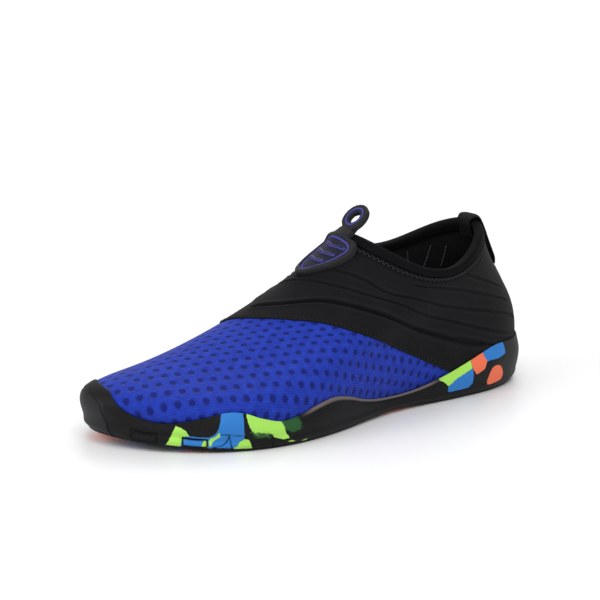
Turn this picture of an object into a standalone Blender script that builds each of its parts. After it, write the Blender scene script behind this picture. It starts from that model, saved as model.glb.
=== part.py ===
"""Water shoe for the left foot, standing empty on its sole.

The frame has +X toward the toe, +Y toward the wearer's left, which is the outer side of the
shoe, and +Z up. The origin lies on the floor under the middle of the heel. Inside this file
a place along the shoe is measured from the back of the last, and placed() moves it there.

The last is one smooth surface over five rings that run around the foot, from the feather
edge at the footbed up to the collar. The upper, the wall of the cup sole, the collar
binding, the heel tape, the pull loop and the instep tab all take their form from it.
"""
import math
from collections import namedtuple

import bmesh
import bpy
import numpy as np
from mathutils import Vector
from mathutils.bvhtree import BVHTree
from mathutils.geometry import delaunay_2d_cdt

# The last, in metres
LAST_LENGTH = 0.254
BALL_WIDTH = 0.090
HEEL_WIDTH = 0.0595
INSTEP_HEIGHT = 0.079      # front of the collar above the footbed
HEEL_HEIGHT = 0.077        # back of the collar above the footbed
MEDIAL_RISE = 0.0045       # how much higher the collar stands on the inner side
TOE_SPRING = 0.0087        # lift of the footbed under the tip of the last
HEEL_REST = 0.034          # from the back of the last to the origin

# The upper and what is sewn to it
UPPER_WALL = 0.0018
QUARTER_STEP = 0.0006      # the quarter lies over the vamp by this much
FIT_GAP = 0.0003           # air between two pieces that lie on each other
BINDING_THICKNESS = 0.0010
BINDING_LEG = 0.0050
TAPE_WIDTH = 0.0110
TAPE_THICKNESS = 0.0008
TAPE_END = 0.012           # the tape stops above the cup's lip, as a share of the last's height
LOOP_WIDTH = 0.0122
LOOP_THICKNESS = 0.0013
LOOP_DROP = 0.0270         # from the collar edge down to the loop's sewn end
LOOP_TUCK = 0.0075         # how far the loop reaches down inside the collar
LOOP_STAND_OFF = 0.0004    # air between the loop and the heel at its widest
LOOP_ROOM = 0.0014         # air between the loop's fold and the binding
LOOP_WIDEST = (0.35, 0.70) # shares of LOOP_DROP between which the loop stands off
LOOP_RETURN = 0.88         # share of LOOP_DROP at which it comes back to the heel
FOLD_CORNER = 0.75         # how high and how far out the corners of the fold lie

# The sole
HEEL_STACK = 0.0070        # footbed above the floor at the heel
BALL_STACK = 0.0065        # footbed above the floor at the ball
CUP_WALL = 0.0022
CUP_HEIGHT = 0.0180        # the cup's lip above the footbed, for the shares in LIP
SOLE_FLARE = 0.0028        # tread edge outside the feather edge
SOLE_BULGE = 0.0020
LIP_BULGE = 0.3            # share of the bulge that is left where the lip is lowest
FOOT_BULGE = 0.4           # share of the bulge halfway down to the tread edge
EDGE_ROUND = 0.0014
ARCH_LIFT = 0.0025
ARCH_PLACE = 0.42          # middle and half length of the arch, as shares of LAST_LENGTH
ARCH_REACH = 0.17
ARCH_TILT = 0.3            # how much more the arch lifts on the inner side
TREAD_SPRING = 0.0058      # lift of the tread under the tip of the last
SPRING_START = 0.748       # where the toe's lift starts, as a share of LAST_LENGTH
INSOLE_THICKNESS = 0.0030
INSOLE_CROWN = 0.0006      # how far the insole's top edge is rounded in
TREAD_WIDTH = 0.0024
TREAD_DEPTH = 0.0012
GROOVE_WIDTH = 0.0011
GROOVE_DEPTH = 0.0008

# The moulded instep tab
TAB_LENGTH = 0.0320
TAB_WIDTH = 0.0250
TAB_PLATE = 0.0015         # field of the shield above the tab's back
TAB_BORDER = 0.0026        # border above the tab's back
TAB_BORDER_WIDTH = 0.0022
TAB_TOP = 0.0035           # top of the shield below the collar edge
SHOULDER = 0.30            # from the shield's top to its widest, as a share of its length
TIP_INSET = 1.4            # how much more an inset draws in the shield's pointed tip
NECK_WIDTH = 0.0105
NECK_LENGTH = 0.0072       # collar edge to the middle of the ring
NECK_FOOT = 0.15           # where the neck starts to widen, as a share of its length
NECK_FLARE = 1.15          # its width at the shield, as a share of NECK_WIDTH
RING_JOIN = 0.8            # width at which it meets the ring, as a share of NECK_WIDTH
RING_RADIUS = 0.0081
RING_HOLE = 0.0032
RING_LEAN = math.radians(45)
BAR_WIDTH = 0.0016
RAY_START = 0.03           # how far outside the instep a ray starts that looks for it
STEEPEST = 0.6             # least cosine of the instep's slope under the tab
NECK_FLATTENING = 2.5      # the neck is flat across after 1 / 2.5 of its length

# Where the quarter's step ends under the cup, as a turn from the heel, and over how much
STEP_END = 0.40
STEP_FADE = 0.07

# The shield's corner and flank. The first number is how far down a point lies, as a share
# of TAB_LENGTH for the corner and of the way from the widest place to the tip for the flank,
# and the second its distance from the middle, as a share of half the width.
SHIELD_CORNER = ((0.0, 0.80), (0.03, 0.95), (0.09, 1.00))
SHIELD_FLANK = ((0.0, 0.97), (0.25, 0.894), (0.50, 0.724), (0.72, 0.512), (0.88, 0.326),
                (1.0, 0.06))

# Three plain chevrons: how far down each lies and how far out it reaches, as shares of the
# tab's length and width
CHEVRONS = ((0.26, 0.30), (0.44, 0.26), (0.62, 0.19))
CHEVRON_LIFT = 0.30        # how much higher a chevron's ends lie, as a share of its reach

# How finely the surfaces are cut into faces
AROUND = 84
HIDDEN_ROWS = 3
SHOULDER_CROWDING = 1.3    # crowds the vamp's rows where it turns over the toes
VAMP_ROWS = 5
QUARTER_ROWS = 7
LINING_ROWS = 8
CUP_ROWS = 5
WALL_ROWS = 3
CROSS_POINTS = 2
TAPE_ROWS = 7
STRIP_POINTS = 5           # points across the tape and the pull loop
ROUND_POINTS = 16
TAB_PITCH = 0.004
GRID_ROOM = 0.35           # least distance of the tab's inner points from its outlines

# Where along the shoe the four stations of each ring lie, as shares of the ring's length
STATIONS = (0.13, 0.42, 0.70, 0.88)

# One row for each ring of the last, from the feather edge to the collar. back and front are
# shares of LAST_LENGTH. heights are for the heel, the four stations and the tip: the first
# two are shares of HEEL_HEIGHT and the rest of INSTEP_HEIGHT. outer and inner are half
# widths at the stations: the first is a share of HEEL_WIDTH, the second of the mean of both
# widths, and the others of BALL_WIDTH, which tip_side follows too.
Ring = namedtuple("Ring", "back front heights outer inner tip_side rise")
RINGS = (
    Ring(0.014, 0.984, (0, 0, 0, 0, 0, 0),
         (0.462, 0.421, 0.489, 0.344), (0.454, 0.334, 0.456, 0.433), -0.144, 0),
    Ring(0.000, 1.000, (0.195, 0.195, 0.180, 0.170, 0.140, 0.100),
         (0.504, 0.468, 0.517, 0.378), (0.496, 0.381, 0.483, 0.456), -0.144, 0),
    Ring(0.008, 0.898, (0.455, 0.403, 0.370, 0.321, 0.294, 0.300),
         (0.462, 0.441, 0.461, 0.328), (0.462, 0.381, 0.422, 0.378), -0.100, 0),
    Ring(0.053, 0.622, (0.714, 0.636, 0.571, 0.560, 0.561, 0.637),
         (0.378, 0.415, 0.383, 0.278), (0.378, 0.388, 0.350, 0.294), -0.067, 0.3),
    Ring(0.0945, 0.421, (1.000, 0.916, 0.767, 0.799, 0.906, 1.000),
         (0.294, 0.348, 0.278, 0.194), (0.294, 0.348, 0.278, 0.194), 0.000, 1.0),
)

# The seam between vamp and quarter. turn runs from 0 at the heel over 1 at the toe back to
# 2, by the outer side, and share is the height along the upper. Near the heel the seam
# stays hidden in the cup.
Place = namedtuple("Place", "turn share")
SEAM = (
    Place(0.00, 0.12), Place(0.30, 0.12), Place(0.336, 0.127), Place(0.372, 0.208),
    Place(0.406, 0.288), Place(0.439, 0.354), Place(0.489, 0.443), Place(0.567, 0.547),
    Place(0.644, 0.618), Place(0.711, 0.660), Place(0.790, 0.681), Place(0.864, 0.665),
    Place(0.961, 0.627), Place(1.031, 0.604), Place(1.094, 0.585), Place(1.16, 0.610),
    Place(1.24, 0.655), Place(1.30, 0.660), Place(1.36, 0.628), Place(1.433, 0.547),
    Place(1.511, 0.443), Place(1.561, 0.354), Place(1.594, 0.288), Place(1.628, 0.208),
    Place(1.664, 0.127), Place(1.70, 0.12), Place(2.00, 0.12),
)

# The wavy lip of the cup sole from the heel along the outer side and around the toe, as
# shares of CUP_HEIGHT above the footbed. Behind the last place the inner side is the outer
# side's mirror.
LIP = (
    Place(0.000, 1.05), Place(0.100, 0.91), Place(0.180, 0.94), Place(0.255, 0.91),
    Place(0.300, 0.68), Place(0.350, 0.38), Place(0.400, 0.17), Place(0.440, 0.12),
    Place(0.480, 0.19), Place(0.505, 0.32), Place(0.535, 0.54), Place(0.565, 0.66),
    Place(0.595, 0.58), Place(0.625, 0.42), Place(0.655, 0.34), Place(0.685, 0.48),
    Place(0.715, 0.65), Place(0.740, 0.67), Place(0.770, 0.52), Place(0.800, 0.35),
    Place(0.840, 0.20), Place(0.880, 0.20), Place(0.905, 0.27), Place(0.930, 0.44),
    Place(0.960, 0.64), Place(1.000, 0.73), Place(1.045, 0.78), Place(1.090, 0.77),
    Place(1.118, 0.62), Place(1.140, 0.42), Place(1.160, 0.28), Place(1.185, 0.24),
    Place(1.210, 0.38), Place(1.235, 0.56), Place(1.260, 0.67), Place(1.285, 0.65),
)

TURN_ROOM = 0.01           # least step in turn from the last place in LIP to a mirrored one

# Where the tread bars lie, as shares of LAST_LENGTH. The two rest spots stay clear.
TREAD_BARS = (0.045, 0.205, 0.250, 0.560, 0.605, 0.735, 0.780, 0.825, 0.870, 0.915)
TREAD_BOW = 0.035          # forward bow of a bar, as a share of LAST_LENGTH
TREAD_REACH = 0.80         # half width of a bar, as a share of the sole's half width

# Grooves in the side of the sole. turn is as in SEAM, and share runs from 0 at the lip to 1
# at the tread edge.
TOE_CAP_LINE = (Place(1.06, 0.20), Place(1.024, 0.16), Place(0.986, 0.20), Place(0.964, 0.32),
                Place(0.956, 0.52), Place(0.950, 0.90))
SideLug = namedtuple("SideLug", "start end top bottom")
SIDE_LUGS = (SideLug(0.854, 0.898, 0.60, 0.90), SideLug(0.774, 0.810, 0.56, 0.90),
             SideLug(0.682, 0.738, 0.50, 0.90), SideLug(1.190, 1.226, 0.56, 0.90),
             SideLug(1.262, 1.318, 0.50, 0.90))


def placed(points):
    """Move points from the last's own measure to the part's frame."""
    return np.asarray(points, dtype=float) - np.array([HEEL_REST, 0.0, 0.0])


def smooth_step(value):
    """Ease from 0 to 1 as value goes from 0 to 1."""
    value = np.clip(value, 0.0, 1.0)
    return value * value * (3.0 - 2.0 * value)


def curve_through(places, turns):
    """Height shares at the given turns, on a smooth curve through a table of places."""
    knots = np.array([place.turn for place in places])
    values = np.array([place.share for place in places])
    slopes = np.gradient(values, knots)
    index = np.clip(np.searchsorted(knots, turns, side="right") - 1, 0, len(knots) - 2)
    span = knots[index + 1] - knots[index]
    along = (turns - knots[index]) / span
    start = values[index] * (1 + 2 * along) * (1 - along) ** 2
    end = values[index + 1] * along ** 2 * (3 - 2 * along)
    lean_in = slopes[index] * span * along * (1 - along) ** 2
    lean_out = slopes[index + 1] * span * along ** 2 * (along - 1)
    return start + end + lean_in + lean_out


def spring(x):
    """Growth of the toe's lift, from 0 behind the ball to 1 under the tip of the last."""
    start = SPRING_START * LAST_LENGTH
    return (np.maximum(x - start, 0.0) / (LAST_LENGTH - start)) ** 2


def footbed(x):
    """Height of the footbed above the floor at x."""
    forward = np.clip(x / LAST_LENGTH, 0.0, 1.0)
    ball_part = smooth_step(forward / SPRING_START)
    return HEEL_STACK + (BALL_STACK - HEEL_STACK) * ball_part + TOE_SPRING * spring(x)


def tread(x, side):
    """Height of the sole's underside at x. side runs from -1, inner, to 1, outer."""
    reach = np.clip((x / LAST_LENGTH - ARCH_PLACE) / ARCH_REACH, -1.0, 1.0)
    waist = 0.5 * (1.0 + np.cos(math.pi * reach))
    return TREAD_SPRING * spring(x) + ARCH_LIFT * waist * (1.0 - ARCH_TILT * side)


def loop_spline(knots, values, angles):
    """Values at the angles, on a smooth closed curve through the knots."""
    count = len(knots)
    spans = np.diff(np.append(knots, knots[0] + 2 * math.pi))
    matrix = np.zeros((count, count))
    right = np.zeros(count)
    for here in range(count):
        before, after = (here - 1) % count, (here + 1) % count
        matrix[here, before] += spans[before]
        matrix[here, here] += 2 * (spans[before] + spans[here])
        matrix[here, after] += spans[here]
        slope_after = (values[after] - values[here]) / spans[here]
        slope_before = (values[here] - values[before]) / spans[before]
        right[here] = 6 * (slope_after - slope_before)
    bend = np.linalg.solve(matrix, right)
    turned = np.mod(angles - knots[0], 2 * math.pi) + knots[0]
    index = np.clip(np.searchsorted(knots, turned, side="right") - 1, 0, count - 1)
    after = (index + 1) % count
    span = spans[index]
    gone = turned - knots[index]
    left = span - gone
    return ((bend[index] * left ** 3 + bend[after] * gone ** 3) / (6 * span)
            + (values[index] / span - bend[index] * span / 6) * left
            + (values[after] / span - bend[after] * span / 6) * gone)


def ring_points(ring, angles):
    """One ring of the last, at angles from 0 at the heel over pi at the toe."""
    back = ring.back * LAST_LENGTH
    front = ring.front * LAST_LENGTH
    x = back + (front - back) * (1.0 - np.cos(angles)) / 2.0
    places = np.arccos(1.0 - 2.0 * np.array(STATIONS))
    knots = np.concatenate([[0.0], places, [math.pi], 2 * math.pi - places[::-1]])
    width_sizes = np.array([HEEL_WIDTH, (HEEL_WIDTH + BALL_WIDTH) / 2, BALL_WIDTH, BALL_WIDTH])
    outer = np.array(ring.outer) * width_sizes
    inner = np.array(ring.inner) * width_sizes
    sides = np.concatenate([[0.0], outer, [ring.tip_side * BALL_WIDTH], -inner[::-1]])
    height_sizes = np.array([HEEL_HEIGHT] * 2 + [INSTEP_HEIGHT] * 4)
    rises = np.array(ring.heights) * height_sizes
    heights = np.concatenate([rises, rises[1:5][::-1]])
    y = loop_spline(knots, sides, angles)
    z = footbed(x) + FIT_GAP + loop_spline(knots, heights, angles)
    z = z + ring.rise * MEDIAL_RISE * np.maximum(-np.sin(angles), 0.0) ** 2
    return np.stack([x, y, z], axis=-1)


def last_points(angles, shares):
    """Points of the last. shares has a row for each height and a column for each angle."""
    rings = np.stack([ring_points(ring, angles) for ring in RINGS])
    chords = np.sqrt(np.linalg.norm(np.diff(rings, axis=0), axis=2))
    knots = np.vstack([np.zeros(len(angles)), np.cumsum(chords, axis=0)])
    knots = knots / knots[-1]
    spans = np.diff(knots, axis=0)
    count = len(RINGS)
    matrix = np.zeros((len(angles), count, count))
    right = np.zeros((len(angles), count, 3))
    matrix[:, 0, 0] = 1.0
    matrix[:, -1, -1] = 1.0
    for row in range(1, count - 1):
        matrix[:, row, row - 1] = spans[row - 1]
        matrix[:, row, row] = 2 * (spans[row - 1] + spans[row])
        matrix[:, row, row + 1] = spans[row]
        slope_after = (rings[row + 1] - rings[row]) / spans[row][:, None]
        slope_before = (rings[row] - rings[row - 1]) / spans[row - 1][:, None]
        right[:, row] = 6 * (slope_after - slope_before)
    bend = np.linalg.solve(matrix, right).transpose(1, 0, 2)
    index = np.clip((shares[None] >= knots[1:-1, None]).sum(axis=0), 0, count - 2)
    column = np.arange(len(angles))[None]
    span = spans[index, column][..., None]
    gone = shares[..., None] - knots[index, column][..., None]
    left = span - gone
    bend_low, bend_high = bend[index, column], bend[index + 1, column]
    low, high = rings[index, column], rings[index + 1, column]
    return ((bend_low * left ** 3 + bend_high * gone ** 3) / (6 * span)
            + (low / span - bend_low * span / 6) * left
            + (high / span - bend_high * span / 6) * gone)


def last_normals(angles, shares):
    """Unit normals of the last, pointing away from the foot."""
    step = 1e-4
    turn = last_points(angles + step, shares) - last_points(angles - step, shares)
    rise = last_points(angles, shares + step) - last_points(angles, shares - step)
    normal = np.cross(rise, turn)
    return normal / np.linalg.norm(normal, axis=2, keepdims=True)


def offset_points(angles, shares, offsets):
    """Points at a distance outside the last."""
    offsets = np.broadcast_to(offsets, shares.shape)
    return last_points(angles, shares) + last_normals(angles, shares) * offsets[..., None]


def spread(start, end, count, crowding=1.0):
    """Rows of shares between two shares given for each angle, crowded toward the start."""
    steps = np.linspace(0.0, 1.0, count + 1)[:, None] ** crowding
    return start[None] * (1.0 - steps) + end[None] * steps


ANGLES = np.linspace(0.0, 2 * math.pi, AROUND, endpoint=False)
TURNS = ANGLES / math.pi
SEAM_SHARES = curve_through(SEAM, TURNS)

def whole_lip():
    """The lip's places all the way around, with the mirrored ones behind the last in LIP."""
    mirrored = [Place(2.0 - place.turn, place.share) for place in reversed(LIP)]
    return LIP + tuple(place for place in mirrored if place.turn > LIP[-1].turn + TURN_ROOM)


LIP_RISES = curve_through(whole_lip(), TURNS) * CUP_HEIGHT


def lip_shares():
    """Share of the last's height at which the cup's lip lies, for each angle."""
    fine = np.linspace(0.0, 0.5, 101)
    columns = last_points(ANGLES, np.repeat(fine[:, None], AROUND, axis=1))
    rises = columns[..., 2] - footbed(columns[..., 0])
    return np.array([np.interp(LIP_RISES[column], rises[:, column], fine)
                     for column in range(AROUND)])


LIP_SHARES = lip_shares()


def mesh_from(name, vertices, faces):
    """Closed mesh object with its faces pointing out."""
    mesh = bpy.data.meshes.new(name)
    mesh.from_pydata([tuple(vertex) for vertex in vertices], [], faces)
    builder = bmesh.new()
    builder.from_mesh(mesh)
    bmesh.ops.recalc_face_normals(builder, faces=builder.faces)
    builder.to_mesh(mesh)
    builder.free()
    part = bpy.data.objects.new(name, mesh)
    bpy.context.scene.collection.objects.link(part)
    return part


def finish_part(part, materials, smooth_angle=math.radians(35)):
    """Give a part its materials and shade its round faces smooth."""
    for material in materials:
        part.data.materials.append(material)
    part.data.shade_smooth()
    part.data.set_sharp_from_angle(angle=smooth_angle)
    return part


def band_faces(row_count, column_count, first=0, closed=False):
    """Quads between rows of points that run all the way around."""
    faces = []
    for row in range(row_count if closed else row_count - 1):
        below = first + row * column_count
        above = first + ((row + 1) % row_count) * column_count
        for column in range(column_count):
            after = (column + 1) % column_count
            faces.append((below + column, above + column, above + after, below + after))
    return faces


def disc_over(ring, first_vertex, ring_start, height_at):
    """Cross rows that close a ring from its outer to its inner side.

    Returns the new points and the faces. height_at gives a point's height from x and side.
    """
    count = len(ring)
    half = count // 2
    points, rows = [], [[ring_start]]
    for column in range(1, half):
        outer, inner = ring[column], ring[count - column]
        row = [ring_start + column]
        for step in range(1, CROSS_POINTS + 1):
            share = step / (CROSS_POINTS + 1)
            point = outer * (1 - share) + inner * share
            point[2] = height_at(point[0], 1.0 - 2.0 * share)
            row.append(first_vertex + len(points))
            points.append(point)
        row.append(ring_start + count - column)
        rows.append(row)
    rows.append([ring_start + half])
    faces = []
    for row, after in zip(rows[:-1], rows[1:]):
        if len(row) == 1:
            faces.extend((row[0], after[step], after[step + 1]) for step in range(len(after) - 1))
        elif len(after) == 1:
            faces.extend((row[step], after[0], row[step + 1]) for step in range(len(row) - 1))
        else:
            faces.extend((row[step], after[step], after[step + 1], row[step + 1])
                         for step in range(len(row) - 1))
    return points, faces


def make_upper(vamp_material, quarter_material):
    """The upper: one wall, open at the collar and underneath, with the quarter standing proud."""
    bottom, top = np.zeros(AROUND), np.ones(AROUND)
    in_cup = spread(bottom, np.minimum(LIP_SHARES, SEAM_SHARES / 2), HIDDEN_ROWS)
    above_cup = spread(in_cup[-1], SEAM_SHARES, VAMP_ROWS, SHOULDER_CROWDING)[1:]
    vamp = offset_points(ANGLES, np.vstack([in_cup, above_cup]), 0.0)
    quarter = offset_points(ANGLES, spread(SEAM_SHARES, top, QUARTER_ROWS), QUARTER_STEP)
    lining = offset_points(ANGLES, spread(top, bottom, LINING_ROWS), -UPPER_WALL)
    rows = np.concatenate([vamp, quarter, lining])
    faces = band_faces(len(rows), AROUND, closed=True)
    upper = mesh_from("upper", placed(rows.reshape(-1, 3)), faces)
    finish_part(upper, [vamp_material, quarter_material])
    vamp_faces = (HIDDEN_ROWS + VAMP_ROWS) * AROUND
    for face in upper.data.polygons:
        face.material_index = 0 if face.index < vamp_faces else 1
    return upper


def cup_offset():
    """Distance from the last to the inside of the cup, for each angle.

    The quarter's step is under the cup only near the heel.
    """
    from_heel = np.minimum(TURNS, 2.0 - TURNS)
    return FIT_GAP + QUARTER_STEP * (1.0 - smooth_step((from_heel - STEP_END) / STEP_FADE))


def outward_at_feather():
    """Level unit vectors away from the foot at the feather edge."""
    normals = last_normals(ANGLES, np.zeros((1, AROUND)))[0]
    normals[:, 2] = 0.0
    return normals / np.linalg.norm(normals, axis=1, keepdims=True)


def feather_ring(offset, height):
    """The feather edge moved level by an offset, at a height above the footbed."""
    ring = last_points(ANGLES, np.zeros((1, AROUND)))[0] + outward_at_feather() * offset
    ring[:, 2] = footbed(ring[:, 0]) + height
    return ring


def sole_side_rows():
    """Rows of the sole's outer side, from the lip down to the tread edge."""
    offset = cup_offset() + CUP_WALL
    rise = LIP_RISES / CUP_HEIGHT
    rows = []
    for step in np.linspace(0.0, 1.0, WALL_ROWS + 1):
        swell = SOLE_BULGE * math.sin(step * math.pi / 2)
        bulge = swell * np.clip(rise + LIP_BULGE, 0.0, 1.0)
        rows.append(offset_points(ANGLES, LIP_SHARES[None] * (1.0 - step), offset + bulge)[0])
    edge = feather_ring(SOLE_FLARE * np.ones((AROUND, 1)), 0.0)
    edge[:, 2] = tread(edge[:, 0], np.sin(ANGLES)) + EDGE_ROUND
    start = rows[-1]
    rounding = outward_at_feather() * SOLE_BULGE * FOOT_BULGE
    rows.append((start + edge) / 2 + rounding)
    rows.append(edge)
    return np.array(rows)


def make_outsole(material):
    """The cup sole: footbed, wall around the upper, bulged side and tread."""
    offset = cup_offset()
    floor = feather_ring(offset[:, None], 0.0)
    cup = offset_points(ANGLES, spread(np.zeros(AROUND), LIP_SHARES, CUP_ROWS)[1:],
                        offset[None])
    side = sole_side_rows()
    under = feather_ring((SOLE_FLARE - EDGE_ROUND) * np.ones((AROUND, 1)), 0.0)
    under[:, 2] = tread(under[:, 0], np.sin(ANGLES))
    rows = np.concatenate([floor[None], cup, side, under[None]])
    points = list(rows.reshape(-1, 3))
    faces = band_faces(len(rows), AROUND)
    more, disc = disc_over(floor, len(points), 0, lambda x, side: footbed(x))
    points, faces = points + more, faces + disc
    more, disc = disc_over(under, len(points), (len(rows) - 1) * AROUND, tread)
    points, faces = points + more, faces + disc
    outsole = mesh_from("outsole", placed(points), faces)
    return finish_part(outsole, [material])


def channel(path, outwards, width, depth, proud, closed=False):
    """Points and faces of a square bar along a path, to cut a groove with."""
    path, outwards = np.array(path), np.array(outwards)
    if closed:
        along = np.roll(path, -1, axis=0) - np.roll(path, 1, axis=0)
    else:
        along = np.gradient(path, axis=0)
    along = along / np.linalg.norm(along, axis=1, keepdims=True)
    across = np.cross(outwards, along)
    across = across / np.linalg.norm(across, axis=1, keepdims=True) * width / 2
    corners = [path - across - outwards * depth, path + across - outwards * depth,
               path + across + outwards * proud, path - across + outwards * proud]
    points = np.stack(corners, axis=1).reshape(-1, 3)
    faces = []
    count = len(path)
    for step in range(count if closed else count - 1):
        here, after = 4 * step, 4 * ((step + 1) % count)
        for corner in range(4):
            beside = (corner + 1) % 4
            faces.append((here + corner, here + beside, after + beside, after + corner))
    if not closed:
        last = 4 * (count - 1)
        faces.append((3, 2, 1, 0))
        faces.append((last, last + 1, last + 2, last + 3))
    return points, faces


def side_point(turn, share):
    """Point and level outward direction on the sole's side."""
    rows = sole_side_rows()
    column = np.mod(turn, 2.0) / 2.0 * AROUND
    here = int(column) % AROUND
    after = (here + 1) % AROUND
    between = column - int(column)
    steps = len(rows) - 1
    row = min(int(share * steps), steps - 1)
    down = share * steps - row
    corner = rows[row:row + 2, [here, after]]
    upper_edge = corner[0, 0] * (1 - between) + corner[0, 1] * between
    lower_edge = corner[1, 0] * (1 - between) + corner[1, 1] * between
    outward = outward_at_feather()
    direction = outward[here] * (1 - between) + outward[after] * between
    return upper_edge * (1 - down) + lower_edge * down, direction / np.linalg.norm(direction)


def tread_bar(place):
    """Points of one bowed bar across the tread."""
    x = place * LAST_LENGTH
    feather = last_points(ANGLES, np.zeros((1, AROUND)))[0]
    half = AROUND // 2
    outer_edge = np.interp(x, feather[:half, 0], feather[:half, 1])
    inner_edge = np.interp(x, feather[:half:-1, 0], feather[:half:-1, 1])
    middle, reach = (outer_edge + inner_edge) / 2, (outer_edge - inner_edge) / 2 * TREAD_REACH
    path, downs = [], []
    for share in np.linspace(-1.0, 1.0, 7):
        point_x = x + TREAD_BOW * LAST_LENGTH * (1 - share * share) * 0.5
        path.append((point_x, middle + reach * share, tread(point_x, share * TREAD_REACH)))
        downs.append((0.0, 0.0, -1.0))
    return path, downs


def make_groove_cutter():
    """One cutter with the tread bars, the toe cap's line and the side lugs' outlines."""
    points, faces = [], []

    def add(path, outwards, width, depth, closed=False):
        new_points, new_faces = channel(path, outwards, width, depth, depth, closed)
        start = len(points)
        points.extend(new_points)
        faces.extend(tuple(start + index for index in face) for face in new_faces)

    for place in TREAD_BARS:
        path, downs = tread_bar(place)
        add(path, downs, TREAD_WIDTH, TREAD_DEPTH)
    path, outwards = zip(*[side_point(*place) for place in TOE_CAP_LINE])
    add(path, outwards, GROOVE_WIDTH, GROOVE_DEPTH)
    for lug in SIDE_LUGS:
        middle = (lug.start + lug.end) / 2
        corners = [(lug.start, lug.top), (middle, lug.top), (lug.end, lug.top),
                   (lug.end, (lug.top + lug.bottom) / 2), (lug.end, lug.bottom),
                   (middle, lug.bottom), (lug.start, lug.bottom),
                   (lug.start, (lug.top + lug.bottom) / 2)]
        path, outwards = zip(*[side_point(*corner) for corner in corners])
        add(path, outwards, GROOVE_WIDTH, GROOVE_DEPTH, closed=True)
    cutter = mesh_from("groove_cutter", placed(points), faces)
    cutter.hide_render = True
    cutter.display_type = "WIRE"
    return cutter


def cut_grooves(outsole, cutter):
    """Cut the tread and side grooves into the sole."""
    cut = outsole.modifiers.new("grooves", "BOOLEAN")
    cut.operation = "DIFFERENCE"
    cut.solver = "EXACT"
    cut.object = cutter


def make_insole(material):
    """The insole, lying on the footbed inside the upper's lower edge."""
    inset = -(UPPER_WALL + FIT_GAP)
    bottom = feather_ring(inset * np.ones((AROUND, 1)), FIT_GAP)
    side = feather_ring(inset * np.ones((AROUND, 1)), FIT_GAP + INSOLE_THICKNESS - INSOLE_CROWN)
    top = feather_ring((inset - INSOLE_CROWN) * np.ones((AROUND, 1)), FIT_GAP + INSOLE_THICKNESS)
    rows = np.array([bottom, side, top])
    points = list(rows.reshape(-1, 3))
    faces = band_faces(len(rows), AROUND)
    more, disc = disc_over(bottom, len(points), 0, lambda x, side: footbed(x) + FIT_GAP)
    points, faces = points + more, faces + disc
    more, disc = disc_over(top, len(points), 2 * AROUND,
                           lambda x, side: footbed(x) + FIT_GAP + INSOLE_THICKNESS)
    points, faces = points + more, faces + disc
    return finish_part(mesh_from("insole", placed(points), faces), [material])


def edge_points(angles, drops, offsets):
    """Points near the collar edge.

    drops has a row for each height along the upper, measured from the edge and negative
    below it, and offsets is the distance outside the last.
    """
    fine = np.linspace(1.0, 0.4, 61)
    shares = np.repeat(fine[:, None], len(angles), axis=1)
    columns = last_points(angles, shares)
    lengths = np.linalg.norm(np.diff(columns, axis=0), axis=2)
    depths = np.vstack([np.zeros(len(angles)), np.cumsum(lengths, axis=0)])
    below = np.array([[np.interp(-drop, depths[:, column], fine) for column, drop in enumerate(row)]
                      for row in drops])
    points = offset_points(angles, below, offsets)
    up = columns[0] - columns[1]
    up = up / np.linalg.norm(up, axis=1, keepdims=True)
    return points + up[None] * np.maximum(drops, 0.0)[..., None]


def make_binding(material):
    """The binding: a channel that is folded over the collar edge."""
    outside = QUARTER_STEP + FIT_GAP
    inside = -(UPPER_WALL + FIT_GAP)
    crest = FIT_GAP + BINDING_THICKNESS
    section = [(-BINDING_LEG, outside), (-BINDING_LEG, outside + BINDING_THICKNESS),
               (0.0, outside + BINDING_THICKNESS), (crest, (outside + inside) / 2),
               (0.0, inside - BINDING_THICKNESS), (-BINDING_LEG, inside - BINDING_THICKNESS),
               (-BINDING_LEG, inside), (FIT_GAP, inside), (FIT_GAP, outside)]
    drops = np.repeat(np.array([[drop] for drop, _ in section]), AROUND, axis=1)
    offsets = np.repeat(np.array([[offset] for _, offset in section]), AROUND, axis=1)
    rows = edge_points(ANGLES, drops, offsets)
    faces = band_faces(len(rows), AROUND, closed=True)
    return finish_part(mesh_from("collar_binding", placed(rows.reshape(-1, 3)), faces), [material])


def strip_solid(name, face_rows, back_rows, material):
    """A strip between a front and a back sheet, each with rows of points across."""
    rows = [np.concatenate([front, back[::-1]]) for front, back in zip(face_rows, back_rows)]
    across = len(rows[0])
    faces = band_faces(len(rows), across)
    half = across // 2
    last = (len(rows) - 1) * across
    for step in range(half - 1):
        mirror = across - 1 - step
        faces.append((step, step + 1, mirror - 1, mirror))
        faces.append((last + step, last + mirror, last + mirror - 1, last + step + 1))
    points = np.concatenate(rows)
    return finish_part(mesh_from(name, placed(points), faces), [material])


def heel_angles(width, share):
    """Angles around the heel whose points on the last span a width."""
    fine = np.linspace(-0.6, 0.6, 121)
    sides = last_points(fine, np.full((1, len(fine)), share))[0, :, 1]
    return np.interp(np.linspace(-width / 2, width / 2, STRIP_POINTS), sides, fine)


def make_heel_tape(material):
    """The tape over the back seam, from the pull loop down to the cup's lip."""
    inside = QUARTER_STEP + FIT_GAP
    start = tape_share(LOOP_DROP + LOOP_THICKNESS)
    lowest = LIP_SHARES[0] + TAPE_END
    fronts, backs = [], []
    for share in np.linspace(start, lowest, TAPE_ROWS):
        angles = heel_angles(TAPE_WIDTH, share)
        shares = np.full((1, len(angles)), share)
        fronts.append(offset_points(angles, shares, inside + TAPE_THICKNESS)[0])
        backs.append(offset_points(angles, shares, inside)[0])
    return strip_solid("heel_tape", fronts, backs, material)


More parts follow.
